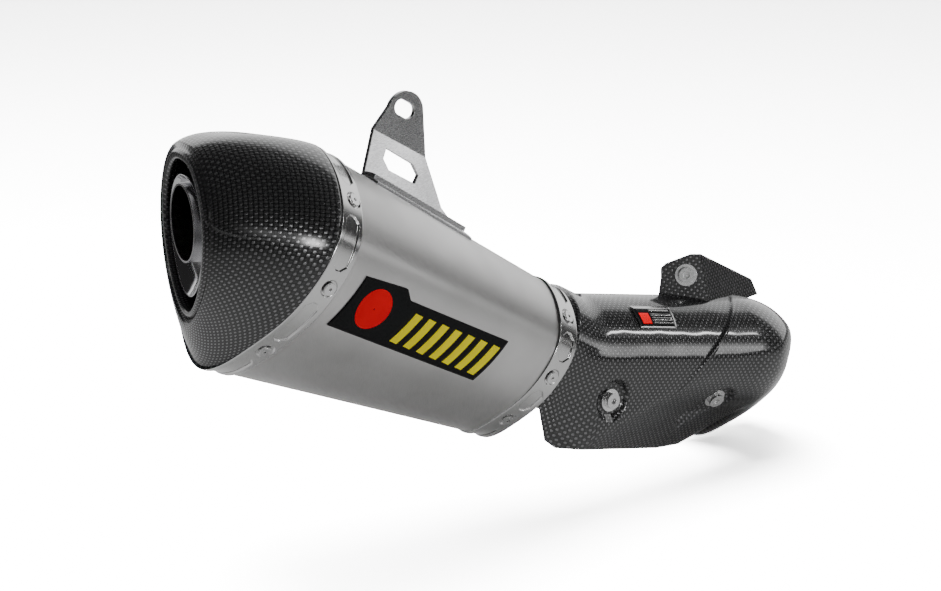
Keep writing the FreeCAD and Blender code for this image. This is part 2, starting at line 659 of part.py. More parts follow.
def bracket_side():
    """Side shape of the plate: two tapering edges and a rounded top."""
    rear = Part.makePolygon([plate_corner(c) for c in BRACKET_REAR_EDGE])
    top = Part.Arc(*[plate_corner(c) for c in BRACKET_TOP_ARC]).toShape()
    front = Part.makePolygon([plate_corner(c) for c in BRACKET_FRONT_EDGE])
    edges = [edge for shape in (rear, top, front) for edge in shape.Edges]
    return across_plate(Part.Face(Part.Wire(edges)))


def bracket_slot():
    """Long round-ended hole for the frame's bolt."""
    radius = SLOT_HEIGHT / 2
    straight = SLOT_LENGTH / 2 - radius
    z, y = SLOT_CENTRE
    slot = Part.makeBox(BODY_LENGTH / 2, SLOT_HEIGHT, 2 * straight, plate_corner((z - straight, y - radius)))
    for end in (z - straight, z + straight):
        slot = slot.fuse(Part.makeCylinder(radius, BODY_LENGTH / 2, plate_corner((end, y)), Vector(1, 0, 0)))
    return slot


def make_hanger_bracket():
    strip = bracket_profile().extrude(Vector(0, 0, SADDLE_LENGTH + 4 * PAST))
    strip = strip.cut(body_loft(SADDLE_START - 10 * PAST, SADDLE_START + SADDLE_LENGTH + 10 * PAST,
                                SADDLE_THICKNESS + SLIP))
    window = across_plate(flat_face([plate_corner(c) for c in BRACKET_WINDOW]))
    plate = strip.common(bracket_side()).cut([bracket_slot(), window])
    return plate.fuse(bracket_foot())


def make_hanger_saddle():
    """Curved plate on the sleeve under the bracket."""
    band = body_band(SADDLE_START, SADDLE_START + SADDLE_LENGTH, SADDLE_THICKNESS, SLIP)
    keep = Part.makeBox(SADDLE_WIDTH, BODY_LENGTH, SADDLE_LENGTH, Vector(SADDLE_SIDE, 0, SADDLE_START))
    return band.common(keep)


# ---------------------------------------------------------------- badges

def make_sleeve_badge():
    """Long plate on the outboard side, cut from a thin band round the body."""
    band = body_band(RING_WIDTH, BODY_LENGTH - RING_WIDTH, BADGE_THICKNESS, SLIP)
    outline = flat_face([Vector(RING_WIDTH, y, z) for y, z in BADGE_CORNERS])
    return band.common(outline.extrude(Vector(2 * HALF_WIDTH, 0, 0)))


# ---------------------------------------------------------------- heat shield

def plate_plane(corners):
    """A point on the plane through the first, third and last corner, and its outboard normal."""
    points = [RUN_START + Vector(*corner) for corner in corners]
    normal = unit((points[2] - points[0]).cross(points[-1] - points[0]))
    if normal.y > 0:
        normal = -normal
    return points[0], normal


def plate_on(corners, thickness):
    """Flat plate whose outer face is the plane of the corners."""
    origin, normal = plate_plane(corners)
    points = [RUN_START + Vector(*corner) for corner in corners]
    flat = [p - normal * (p - origin).dot(normal) for p in points]
    return flat_face(flat).extrude(-normal * thickness)


def tab_fixing():
    origin, normal = plate_plane(TAB_LEFT)
    seat = RUN_START + Vector(-35.0, 0.0, 62.3)
    return facing(seat - normal * (seat - origin).dot(normal), normal)


# Each fixing's z axis leaves the shield; its origin is the seat under the washer.
SKIRT_FIXING = facing(RUN_START + Vector(-138.7, RECESS_DEPTH - SKIRT_REACH, -4.0), Vector(0, -1, 0))
ELBOW_FIXING = facing(RUN_START + Vector(-25.6, -22.0, -26.0), Vector(-0.16, -0.84, -0.52))
TAB_FIXING = tab_fixing()
FIXINGS = (SKIRT_FIXING, ELBOW_FIXING, TAB_FIXING)
SCREW_REACHES = (9.0, 3.5, 9.0)
LUG_TOP = -(SHIELD_WALL + BUSH_LENGTH + 2 * SLIP)


def shield_solid(inset):
    """Solid envelope of the shield, shrunk by inset on every side."""
    radius = SHIELD_RADIUS - inset
    run = Part.makeCylinder(radius, RUN_LENGTH, RUN_START, RUN_AXIS)
    ring = Part.Face(Part.Wire(Part.makeCircle(radius, RUN_END, RUN_AXIS)))
    rise = ring.revolve(BEND_CENTRE, BEND_AXIS, math.degrees(BEND_ANGLE))
    tail = Part.makeCylinder(radius, TAIL_LENGTH + 10, TAIL_START, REARWARD)
    face = Part.Face(Part.Wire(Part.makeCircle(radius, ELBOW_START, INLET_AXIS)))
    elbow = face.revolve(ELBOW_CENTRE, ELBOW_AXIS, math.degrees(ELBOW_ANGLE))
    leg = Part.makeCylinder(radius, STUB_LENGTH - LEG_START, INLET_AXIS * LEG_START, INLET_AXIS)
    skirt = flat_face([RUN_START + Vector(x, inset - SKIRT_REACH, z) for x, z in SKIRT_SIDE])
    skirt = skirt.extrude(Vector(0, SKIRT_REACH - inset, 0))
    under = unit(UNDER_NORMAL)
    skirt = skirt.cut(half_space(RUN_START + UNDER_POINT - under * inset, under))
    solid = run.fuse([rise, tail, elbow, leg, skirt])
    for point, normal in NOSE_FACETS:
        away = unit(Vector(*normal))
        solid = solid.cut(half_space(RUN_START + Vector(*point) - away * inset, away))
    for fixing in (SKIRT_FIXING, ELBOW_FIXING):
        pocket = Part.makeCylinder(RECESS_RADIUS + inset, SHIELD_RADIUS, Vector(0, 0, -inset))
        solid = solid.cut(placed(pocket, fixing))
    return solid


def shield_keep():
    """Trim of the shield: its side edges, its open inboard edge and the half pipe under the inlet."""
    half = BOX_SIZE / 2
    block = flat_face([RUN_START + Vector(x, -half, z) for x, z in SHIELD_SIDE]).extrude(Vector(0, 2 * half, 0))
    plan = flat_face([RUN_START + Vector(x, y, -half) for x, y in SHIELD_PLAN]).extrude(Vector(0, 0, 2 * half))
    leg = half_space(Vector(), LEG_OPENING).common(half_space(RUN_START + LEG_LIMIT, Vector(1, 0, 0)))
    return block.common(plan).fuse(leg.common(half_space(RUN_START + LEG_LIMIT, Vector(0, 1, 0))))


def lug_place(fixing):
    """The fixing's placement turned so that its y axis points up the tab."""
    outward = fixing.Rotation.multVec(Vector(0, 0, 1))
    upright = unit(Vector(0, 0, 1) - outward * outward.z)
    return Placement(fixing.Base, Rotation(upright.cross(outward), upright, outward, "ZXY"))


def make_heat_shield():
    keep = shield_keep()
    shell = shield_solid(0.0).cut(shield_solid(SHIELD_WALL)).common(keep)
    shell = biggest(shell)
    for corners in (TAB_LEFT, TAB_RIGHT):
        shell = shell.fuse(plate_on(corners, SHIELD_WALL).cut(shield_solid(SHIELD_WALL)))
    holes = []
    depth = BUSH_LENGTH * 5
    for fixing in FIXINGS:
        hole = Part.makeCylinder(SCREW_RADIUS + SCREW_HOLE, 2 * BUSH_LENGTH, Vector(0, 0, -BUSH_LENGTH))
        pocket = Part.makeCylinder(BUSH_RADIUS + BUSH_GAP, depth, Vector(0, 0, -SHIELD_WALL - depth))
        holes.append(placed(hole.fuse(pocket), fixing))
    corner = Vector(-LUG_WIDTH / 2 - PAST, -LUG_REACH, LUG_TOP - LUG_PLATE - PAST)
    slot = Part.makeBox(LUG_WIDTH + 2 * PAST, LUG_REACH - BUSH_RADIUS, LUG_PLATE + 3 * PAST, corner)
    holes.append(placed(slot, lug_place(TAB_FIXING)))
    return shell.cut(holes)


def fixing_parts(fixing, reach, lug):
    """Washer, screw, bush and welded lug of one shield fixing, in the row frame."""
    outward = Vector(0, 0, 1)
    wall = SHIELD_WALL + SLIP
    hole = SCREW_RADIUS + SCREW_HOLE
    washer = tube(WASHER_RADIUS, hole, SLIP, WASHER_THICKNESS, Vector(), outward)
    seat = WASHER_THICKNESS + 2 * SLIP
    head = Part.makeCylinder(SCREW_HEAD_RADIUS, SCREW_HEAD, outward * seat)
    drive = hexagon(DRIVE_RADIUS, SCREW_HEAD, outward * (seat + SCREW_HEAD / 2), outward)
    back = wall + BUSH_LENGTH + reach
    shank = Part.makeCylinder(SCREW_RADIUS, back + seat + SCREW_HEAD / 4, outward * -back)
    screw = head.fuse(shank).cut(drive)
    bush = tube(BUSH_RADIUS, hole, -wall - BUSH_LENGTH, BUSH_LENGTH, Vector(), outward)
    parts = [placed(shape, fixing) for shape in (washer, screw, bush)]
    return parts + [lug]


def column_lug(fixing, length):
    """Threaded column from the bush down to the pipe."""
    bore = SCREW_RADIUS + BOLT_CLEARANCE
    column = tube(COLUMN_RADIUS, bore, LUG_TOP - length, length, Vector(), Vector(0, 0, 1))
    return placed(column, fixing).cut(pipe_solid(PIPE_RADIUS + SLIP, PIPE_START))


def plate_lug(fixing):
    """Upright plate from the pipe to the tab's screw, with its weld nut behind."""
    nut_back = LUG_TOP - LUG_PLATE - WELD_NUT
    corner = Vector(-LUG_WIDTH / 2, LUG_ABOVE - LUG_REACH, LUG_TOP - LUG_PLATE)
    plate = Part.makeBox(LUG_WIDTH, LUG_REACH, LUG_PLATE, corner)
    nut = Part.makeCylinder(WELD_NUT_RADIUS, WELD_NUT, Vector(0, 0, nut_back))
    bore = Part.makeCylinder(SCREW_RADIUS + BOLT_CLEARANCE, -nut_back, Vector(0, 0, nut_back - PAST))
    lug = placed(plate.fuse(nut).cut(bore), lug_place(fixing))
    return lug.cut(pipe_solid(PIPE_RADIUS + SLIP, PIPE_START))


def shield_fixings():
    """Groups of the three washers, screws, bushes and lugs."""
    lugs = [biggest(column_lug(fixing, length)) for fixing, length in zip(FIXINGS, LUG_LENGTHS)]
    lugs.append(biggest(plate_lug(TAB_FIXING)))
    sets = [fixing_parts(*one) for one in zip(FIXINGS, SCREW_REACHES, lugs)]
    names = ("shield_washers", "shield_screws", "shield_bushes", "shield_lugs")
    return {name: Part.makeCompound([one[k] for one in sets]) for k, name in enumerate(names)}


def make_shield_badge():
    """Small curved plate on the run's upper outboard side."""
    outer = SHIELD_RADIUS + SHIELD_BADGE_THICKNESS
    band = tube(outer, SHIELD_RADIUS + SLIP, 0, RUN_LENGTH, RUN_START, RUN_AXIS)
    outline = flat_face([RUN_START + Vector(x, -2 * outer, z) for x, z in SHIELD_BADGE_CORNERS])
    return band.common(outline.extrude(Vector(0, 2 * outer, 0)))


def main():
    shapes = {
        "sleeve": in_row(make_sleeve()),
        "front_ring": in_row(make_front_ring()),
        "rear_ring": in_row(make_rear_ring()),
        "front_rivets": in_row(rivets(FRONT_RIVET_Z)),
        "rear_rivets": in_row(rivets(REAR_RIVET_Z)),
        "front_cap": in_row(make_front_cap()),
        "inlet_collar": in_row(make_inlet_collar()),
        "core_tube": in_row(make_core_tube()),
        "packing_wool": in_row(make_packing()),
        "rear_bulkhead": in_row(make_rear_bulkhead()),
        "cap_flange": in_row(make_cap_flange()),
        "outlet_cap": in_row(make_outlet_cap()),
        "outlet_cup": in_row(make_outlet_cup()),
        "outlet_tube": in_row(make_outlet_tube()),
        "link_pipe": make_link_pipe(),
        "inlet_socket": make_inlet_socket(),
        "inlet_gasket": make_inlet_gasket(),
        "inlet_clamp_band": placed(clamp_band(), INLET_CLAMP),
        "inlet_clamp_bolt": placed(clamp_bolt(), INLET_CLAMP),
        "inlet_clamp_nut": placed(clamp_nut(), INLET_CLAMP),
        "joint_clamp_band": placed(clamp_band(), JOINT_CLAMP),
        "joint_clamp_bolt": placed(clamp_bolt(), JOINT_CLAMP),
        "joint_clamp_nut": placed(clamp_nut(), JOINT_CLAMP),
        "hanger_bracket": in_row(make_hanger_bracket()),
        "hanger_saddle": in_row(make_hanger_saddle()),
        "sleeve_badge": in_row(make_sleeve_badge()),
        "heat_shield": make_heat_shield(),
        "shield_badge": make_shield_badge(),
    }
    shapes.update(shield_fixings())
    os.makedirs("parts", exist_ok=True)
    for name, shape in shapes.items():
        shape.exportStep("parts/" + name + ".step")


main()
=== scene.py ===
import math

import bmesh
import bpy
import numpy as np
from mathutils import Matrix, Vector


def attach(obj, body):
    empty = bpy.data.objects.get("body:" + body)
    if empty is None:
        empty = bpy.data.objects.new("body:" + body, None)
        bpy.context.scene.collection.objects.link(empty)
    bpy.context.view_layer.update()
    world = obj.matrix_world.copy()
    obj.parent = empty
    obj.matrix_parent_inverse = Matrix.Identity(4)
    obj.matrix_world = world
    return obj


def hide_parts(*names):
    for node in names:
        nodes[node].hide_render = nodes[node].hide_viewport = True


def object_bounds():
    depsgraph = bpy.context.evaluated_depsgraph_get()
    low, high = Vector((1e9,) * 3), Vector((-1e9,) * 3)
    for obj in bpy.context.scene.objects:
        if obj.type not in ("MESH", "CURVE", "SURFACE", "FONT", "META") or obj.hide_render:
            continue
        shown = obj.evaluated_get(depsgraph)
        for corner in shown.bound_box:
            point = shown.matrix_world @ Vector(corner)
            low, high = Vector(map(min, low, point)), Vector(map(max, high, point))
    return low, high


# Looks of the racing exhaust. Dimensions are millimetres in the row frame or in the muffler frame
# (x outboard, y up, z back to the outlet), and are turned into metres when a mesh is made.

MM = 0.001
WEAVE = 2.3
WELD_GAP = 0.002
# Even number added so that the weave's cell count is never negative.
ALWAYS_POSITIVE = 4000.0

# Muffler body
PITCH = math.radians(29.2)
BODY_LENGTH = 244.0
RING_WIDTH = 20.0
RING_THICKNESS = 1.3
SLIP = 0.05
FRONT_WIDTH_SCALE = 0.66
FRONT_HEIGHT_SCALE = 0.7257
CENTRE_DROP = 12.0
HALF_WIDTH = 77.0
HALF_HEIGHT = 76.0
BODY_OUTLINE = ((0, 75), (21, 76), (42, 68), (61, 53), (77, 28), (75, -2), (61, -30), (36, -56), (0, -76.5),
                (-36, -56), (-61, -30), (-75, -2), (-76, 25), (-60, 48), (-42, 63), (-21, 72))
OUTLINE_POINTS = len(BODY_OUTLINE)
SEAM = 12.0
RIVET_SPOTS = (3.1, 5.1, 6.9, 9.1, 10.9, 12.9)
FRONT_RIVET_Z = 10.0
REAR_RIVET_Z = 232.0
DIMPLE_RADIUS = 6.2
DIMPLE_DEPTH = 0.95
PAD_DEPTH = 1.0
PAD_HALF_WIDTH = 6.0
PAD_RIVET_GAP = 12.0
PAD_CHAMFER = 4.0
PAD_EDGE = 0.45
RING_LIP = 1.2
RING_LIP_DROP = 0.9
SLEEVE_WALL = 1.0
SLEEVE_UNDER_RING = 2.0
BADGE_LIFT = 0.75
BADGE_WALL = 0.7
MARK_LIFT = 0.85
SPOT_CENTRE = (-15.5, 189.0)
SPOT_RADIUS = 13.5
STRIPES = 7
STRIPE_START = 160.0
STRIPE_PITCH = 13.0
STRIPE_WIDTH = 7.0
STRIPE_SLANT = 5.0

# Outlet
OUTLET_TURN = math.radians(16.4)
OUTLET_CENTRE = np.array((-6.2, -11.9, 293.9))
CAP_END_OUTLINE = ((0, 46), (17, 44), (33, 35), (43, 20), (46, 1), (43, -18), (34, -36), (18, -53), (0, -60))
OPENING_OUTLINE = ((0, 39), (14, 37), (27, 28), (35.5, 14), (38.5, -4), (34.5, -22), (26, -38), (13, -51),
                   (0, -55))
CUP_OUTLINE = ((0, 29.5), (13, 28), (24, 21), (31.5, 9), (34, -5), (30, -20), (22, -34), (11, -43.5),
               (0, -46.5))
OUTLET_RADIUS = 24.5
CAP_STEP = 0.3
CAP_WALL = 2.2
CAP_ROLL_SHARE = 0.58
CAP_ROLL_DEPTH = 4.2
LIP_SHARE = 0.78
LIP_DEPTH = 1.8
THROAT = ((1.0, -5.0), (1.02, -9.0), (1.08, -16.0))
CUP_BACK = -12.0
CUP_RIM = -2.9
CUP_RIM_HEIGHT = 0.6
CUP_RIM_INSET = 0.018
CUP_DEPTH = 6.6

# Link pipe and heat shield
INLET_RISE = 20.0
INLET_FALL = math.radians(30.0)
RUN_SLOPE = math.radians(10.0)
STUB_LENGTH = 40.0
ELBOW_RADIUS = 62.0
RUN_LENGTH = 145.0
BEND_RADIUS = 75.0
TAIL_LENGTH = 24.0
SHIELD_RADIUS = 40.0
SHIELD_WALL = 1.6
SKIRT_REACH = 36.0
UNDER_NORMAL = np.array((0.12, -0.89, -0.45))
UNDER_POINT = np.array((-116.0, -36.0, -18.6))
RECESS_RADIUS = 12.5
SKIRT_SEAT = np.array((-138.7, -33.0, -4.0))
SKIRT_SEAT_AXIS = np.array((0.0, -1.0, 0.0))
ELBOW_SEAT = np.array((-25.6, -22.0, -26.0))
ELBOW_SEAT_AXIS = np.array((-0.16, -0.84, -0.52))
SCOOP_TIP = np.array((-54.0, -22.0, -43.0))
POCKET_FLARE = 0.5
POCKET_ROUNDING = 1.5
SCOOP_TAPER = 10.0
SCOOP_FLARE = 0.4
SCOOP_ROUNDING = 1.2
RECESS_ROUNDING = 1.2
TAB_LEFT = ((-52.7, 10.5, 42.4), (-49.2, 11.1, 59.4), (-48.2, 12.3, 67.2), (-45.1, 10.7, 70.4),
            (-30.3, 0.4, 77.0), (-24.6, -4.3, 77.0), (-23.2, -13.8, 36.0))
TAB_RIGHT = ((-24.6, -4.3, 77.0), (51.3, 16.7, 42.6), (57.8, 17.7, 29.4), (-23.2, -13.8, 36.0))
# Trim planes of the shield: a point and the outward normal of what is cut away, from the run's start.
SHIELD_TRIMS = (((-204.5, 0, 10.5), (-0.873, 0, 0.487)),
                ((-204.5, 0, 10.5), (-0.980, 0, -0.199)),
                ((-198, 0, -21.5), (-0.614, 0, -0.789)),
                ((-189, 0, -28.5), (-0.246, 0, -0.969)),
                ((-71, 0, -58.5), (-0.145, 0, -0.989)),
                ((-6, 0, -68), (0, 0, -1)))
INBOARD_EDGE = ((-246, 18, 0), (-0.017, 1, 0))
# Half pipe round the inlet, inboard of that edge: kept in front of one plane and above another.
LEG_TRIMS = (((-10, 0, 0), (-1, 0, 0)), ((55.968, 83.859, -58.284), (-0.14, 0.49, 0.86)))
NOSE_FACETS = (((45.2, -26.1, -13.9), (0.628, -0.752, -0.202)),
               ((25.7, -26.1, -33.6), (0.364, -0.663, -0.654)),
               ((-21.9, -26.1, -48.8), (0.166, -0.534, -0.829)))
NOSE_ROUNDING = 7.0
SKIRT_FRONT = 22.0
SKIRT_BACK = -1.0
SKIRT_OPEN_FROM = -3.0
SKIRT_BLEND = 9.0
EDGE_ROLL = 9.0
EDGE_ROLL_SLOPE = 0.42
# Small plate on the run: corners (x, z) from the run's start, and heights over the shield.
SHIELD_BADGE = ((-109, 55.7), (-71.7, 49), (-75.8, 36.7), (-110, 43))
SHIELD_PLATE_LIFT = 1.0
SHIELD_FIELD_LIFT = 1.15
SHIELD_MARK_LIFT = 1.3
SHIELD_MARK_WALL = 0.4
# Ridge between the run and the nose: distance along the run and angle from outboard up, in degrees.
RIDGE_ANGLES = (-60.0, -31.5, -16.5, 5.0, 36.5, 94.0, 140.0)
RIDGE_ALONG = (92.0, 73.5, 65.0, 51.5, 28.0, -6.5, -20.0)
RIDGE_BEAD = 0.7
RIDGE_BEAD_WIDTH = 1.3
RIDGE_STEP = 0.9

# Lamps painted on the room: azimuth, elevation, width and height in degrees, strength.
SKY_LAMPS = ((59.0, 24.0, 0.9, 3.5, 40.0), (58.0, 24.0, 9.0, 5.0, 1.2), (2.0, 4.0, 6.0, 6.0, 26.0),
             (-20.0, 8.0, 16.0, 6.0, 1.2), (49.0, 3.0, 7.0, 6.0, 5.0))
# Room light outside the lamps
SWEEP_AZIMUTH = 135.0
SWEEP_GLOW = 1.4
ROOM_GLOW = 0.03
LAMP_FALL = 0.3678
# Floor in metres, and how bright the camera sees it; mirrored and lit surfaces see a greyer floor.
FLOOR_SIZE = 14.0
FLOOR_GAP = 0.0005
FLOOR_SEEN = 14.0
# Camera in degrees, metres and millimetres of lens.
CAMERA_AZIMUTH = -39.56
CAMERA_ELEVATION = 14.4
CAMERA_DISTANCE = 1.710
CAMERA_LENS = 99.47
CAMERA_TARGET = np.array((-58.6, -23.8, 60.0))

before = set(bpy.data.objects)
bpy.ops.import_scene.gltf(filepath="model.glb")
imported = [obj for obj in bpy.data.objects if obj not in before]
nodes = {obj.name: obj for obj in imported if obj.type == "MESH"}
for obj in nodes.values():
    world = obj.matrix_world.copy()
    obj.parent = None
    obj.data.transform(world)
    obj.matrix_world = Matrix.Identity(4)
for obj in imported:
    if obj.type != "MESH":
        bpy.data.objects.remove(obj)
cad_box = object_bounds()


# ---------------------------------------------------------------- vectors and frames

def unit(vector):
    vector = np.asarray(vector, float)
    return vector / np.linalg.norm(vector)


def turned(vector, axis, angle):
    """Vector turned about a unit axis by an angle."""
    vector = np.asarray(vector, float)
    cosine = math.cos(angle)
    along = axis * np.dot(axis, vector)
    return vector * cosine + np.cross(axis, vector) * math.sin(angle) + along * (1 - cosine)


OUTBOARD = np.array((0.0, -1.0, 0.0))
RISE = np.array((math.sin(PITCH), 0.0, math.cos(PITCH)))
REARWARD = np.array((-math.cos(PITCH), 0.0, math.sin(PITCH)))
INLET_AXIS = np.array((0.0, -math.cos(INLET_FALL), math.sin(INLET_FALL)))
RUN_AXIS = np.array((-math.cos(RUN_SLOPE), 0.0, math.sin(RUN_SLOPE)))


def bend(start, first, last, radius):
    """Centre, axis, angle and end point of an arc that turns first into last."""
    axis = unit(np.cross(first, last))
    centre = start + np.cross(axis, first) * radius
    angle = math.acos(np.dot(first, last))
    return centre, axis, angle, centre + turned(start - centre, axis, angle)


ELBOW_START = INLET_AXIS * STUB_LENGTH
ELBOW_CENTRE, ELBOW_AXIS, ELBOW_ANGLE, RUN_START = bend(ELBOW_START, INLET_AXIS, RUN_AXIS, ELBOW_RADIUS)
RUN_END = RUN_START + RUN_AXIS * RUN_LENGTH
BEND_CENTRE, BEND_AXIS, BEND_ANGLE, TAIL_START = bend(RUN_END, RUN_AXIS, REARWARD, BEND_RADIUS)
JOINT_CENTRE = TAIL_START + REARWARD * TAIL_LENGTH
MUFFLER_ORIGIN = JOINT_CENTRE - RISE * INLET_RISE


def in_row(points):
    """Muffler-frame points in the row frame."""
    points = np.asarray(points, float)
    return MUFFLER_ORIGIN + points[..., :1] * OUTBOARD + points[..., 1:2] * RISE + points[..., 2:3] * REARWARD


# ---------------------------------------------------------------- meshes

def make_object(name, body, verts, faces, material, uvs=None, smooth=True):
    """Mesh object in metres that rides on a body; uvs is one pair per vertex, in millimetres."""
    mesh = bpy.data.meshes.new(name)
    mesh.from_pydata((np.asarray(verts) * MM).tolist(), [], faces)
    if uvs is not None:
        layer = mesh.uv_layers.new(name="mm")
        corners = np.empty(len(mesh.loops), np.int32)
        mesh.loops.foreach_get("vertex_index", corners)
        layer.data.foreach_set("uv", np.asarray(uvs, np.float32)[corners].ravel())
    mesh.polygons.foreach_set("use_smooth", [smooth] * len(mesh.polygons))
    mesh.materials.append(material)
    mesh.update()
    piece = bpy.data.objects.new(name, mesh)
    bpy.context.scene.collection.objects.link(piece)
    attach(piece, body)
    return piece


def grid_faces(points, centre):
    """Quads of a grid of points, wound so that they face away from the centre."""
    rows, columns = points.shape[:2]
    index = np.arange(rows * columns).reshape(rows, columns)
    quads = np.stack([index[:-1, :-1], index[:-1, 1:], index[1:, 1:], index[1:, :-1]], -1)
    normals = np.cross(points[:-1, 1:] - points[:-1, :-1], points[1:, :-1] - points[:-1, :-1])
    if ((points[:-1, :-1] - centre) * normals).sum() < 0:
        quads = quads[..., ::-1]
    return quads.reshape(-1, 4).tolist()


MUFFLER_MIDDLE = in_row(np.array((0.0, -6.0, 122.0)))
RUN_MIDDLE = RUN_START + RUN_AXIS * 60.0


def grid_object(name, body, points, material, uvs=None):
    flat_uvs = None if uvs is None else uvs.reshape(-1, 2)
    centre = MUFFLER_MIDDLE if body == "muffler" else RUN_MIDDLE
    return make_object(name, body, points.reshape(-1, 3), grid_faces(points, centre), material, flat_uvs)


def apply_modifiers(piece):
    bpy.context.view_layer.update()
    graph = bpy.context.evaluated_depsgraph_get()
    mesh = bpy.data.meshes.new_from_object(piece.evaluated_get(graph))
    piece.modifiers.clear()
    piece.data = mesh


def weld(piece):
    modifier = piece.modifiers.new("weld", "WELD")
    modifier.merge_threshold = WELD_GAP * MM
    apply_modifiers(piece)


def thicken(piece, thickness):
    """Give a sheet a wall on its inner side."""
    modifier = piece.modifiers.new("wall", "SOLIDIFY")
    modifier.thickness = thickness * MM
    modifier.offset = -1.0
    apply_modifiers(piece)


def outward(piece):
    """Turn the faces of a closed piece outwards."""
    work = bmesh.new()
    work.from_mesh(piece.data)
    bmesh.ops.recalc_face_normals(work, faces=work.faces)
    work.to_mesh(piece.data)
    work.free()


def arc_lengths(points):
    """Running length along the second axis of a grid of points."""
    steps = np.linalg.norm(np.diff(points, axis=1), axis=2)
    return np.concatenate([np.zeros((len(points), 1)), np.cumsum(steps, axis=1)], axis=1)


# ---------------------------------------------------------------- section curves

def mirrored(half_outline):
    left = [(-x, y) for x, y in reversed(half_outline[1:-1])]
    return np.array(list(half_outline) + left, float)


def periodic(points, spots):
    """Closed cubic through the points at parameters 0, 1, 2 and so on."""
    points = np.asarray(points, float)
    count = len(points)
    identity = np.eye(count)
    matrix = 4 * identity + np.roll(identity, 1, axis=1) + np.roll(identity, -1, axis=1)
    slopes = np.linalg.solve(matrix, 3 * (np.roll(points, -1, axis=0) - np.roll(points, 1, axis=0)))
    start = np.floor(spots).astype(int) % count
    end = (start + 1) % count
    t = (spots - np.floor(spots))[:, None]
    t2 = t * t
    t3 = t2 * t
    value = (2 * t3 - 3 * t2 + 1) * points[start] + (3 * t2 - 2 * t3) * points[end]
    return value + (t3 - 2 * t2 + t) * slopes[start] + (t3 - t2) * slopes[end]


def body_section(z, grow, spots):
    share = z / BODY_LENGTH
    wide = FRONT_WIDTH_SCALE + (1 - FRONT_WIDTH_SCALE) * share + grow / HALF_WIDTH
    high = FRONT_HEIGHT_SCALE + (1 - FRONT_HEIGHT_SCALE) * share + grow / HALF_HEIGHT
    flat = periodic(BODY_OUTLINE, spots) * (wide, high)
    flat[:, 1] -= CENTRE_DROP * share
    return np.column_stack([flat, np.full(len(spots), z)])


def normals_in_section(points):
    """Outward unit normals of a closed section, in its own plane."""
    along = np.roll(points, -1, axis=0) - np.roll(points, 1, axis=0)
    along[0] = points[1] - points[-2]
    along[-1] = along[0]
    normal = np.column_stack([along[:, 1], -along[:, 0], np.zeros(len(points))])
    normal /= np.linalg.norm(normal, axis=1, keepdims=True)
    outwards = np.sign((normal[:, :2] * points[:, :2]).sum())
    return normal * outwards


def around(count):
    """Outline parameters once round, starting on the hidden side."""
    return np.linspace(SEAM, SEAM + OUTLINE_POINTS, count)


# ---------------------------------------------------------------- materials

class Tree:
    """Short way to write the nodes of a material or of the room."""

    def __init__(self, tree):
        self.tree = tree

    def link(self, source, target):
        self.tree.links.new(source, target)

    def put(self, target, value):
        if isinstance(value, bpy.types.NodeSocket):
            self.link(value, target)
        else:
            target.default_value = value

    def math(self, operation, first, second=0.0, third=0.0):
        node = self.tree.nodes.new("ShaderNodeMath")
        node.operation = operation
        for socket, value in zip(node.inputs, (first, second, third)):
            self.put(socket, value)
        return node.outputs[0]

    def mix(self, share, first, second):
        node = self.tree.nodes.new("ShaderNodeMix")
        node.data_type = "RGBA"
        self.put(node.inputs[0], share)
        self.put(node.inputs[6], first)
        self.put(node.inputs[7], second)
        return node.outputs[2]

    def noise(self, scale, detail=3.0, stretch=(1, 1, 1)):
        where = self.tree.nodes.new("ShaderNodeTexCoord")
        placed = self.tree.nodes.new("ShaderNodeMapping")
        placed.inputs["Scale"].default_value = stretch
        node = self.tree.nodes.new("ShaderNodeTexNoise")
        node.inputs["Scale"].default_value = scale
        node.inputs["Detail"].default_value = detail
        self.link(where.outputs["Object"], placed.inputs[0])
        self.link(placed.outputs[0], node.inputs["Vector"])
        return node.outputs[0]

    def ramp(self, value, low, high, first=0.0, last=1.0, smooth=False):
        node = self.tree.nodes.new("ShaderNodeMapRange")
        node.clamp = True
        node.interpolation_type = "SMOOTHSTEP" if smooth else "LINEAR"
        for socket, item in zip(node.inputs, (value, low, high, first, last)):
            self.put(socket, item)
        return node.outputs[0]

    def bump(self, height, strength, distance, under=None):
        node = self.tree.nodes.new("ShaderNodeBump")
        node.inputs["Strength"].default_value = strength
        node.inputs["Distance"].default_value = distance * MM
        self.link(height, node.inputs["Height"])
        if under is not None:
            self.link(under, node.inputs["Normal"])
        return node.outputs[0]

    def soft_edges(self, radius):
        node = self.tree.nodes.new("ShaderNodeBevel")
        node.samples = 4
        node.inputs["Radius"].default_value = radius * MM
        return node.outputs[0]

    def uv(self):
        node = self.tree.nodes.new("ShaderNodeUVMap")
        node.uv_map = "mm"
        parts = self.tree.nodes.new("ShaderNodeSeparateXYZ")
        self.link(node.outputs[0], parts.inputs[0])
        return parts.outputs[0], parts.outputs[1]

    def vector_math(self, operation, first, second=(0, 0, 0)):
        node = self.tree.nodes.new("ShaderNodeVectorMath")
        node.operation = operation
        self.put(node.inputs[0], first)
        self.put(node.inputs[1], second)
        return node.outputs["Value"]


class Nodes(Tree):
    """One material with a principled shader."""

    def __init__(self, name):
        self.material = bpy.data.materials.new(name)
        self.material.use_nodes = True
        super().__init__(self.material.node_tree)
        self.tree.nodes.clear()
        out = self.tree.nodes.new("ShaderNodeOutputMaterial")
        self.shader = self.tree.nodes.new("ShaderNodeBsdfPrincipled")
        self.link(self.shader.outputs[0], out.inputs[0])

    def set(self, **values):
        for name, value in values.items():
            self.put(self.shader.inputs[name.replace("_", " ")], value)


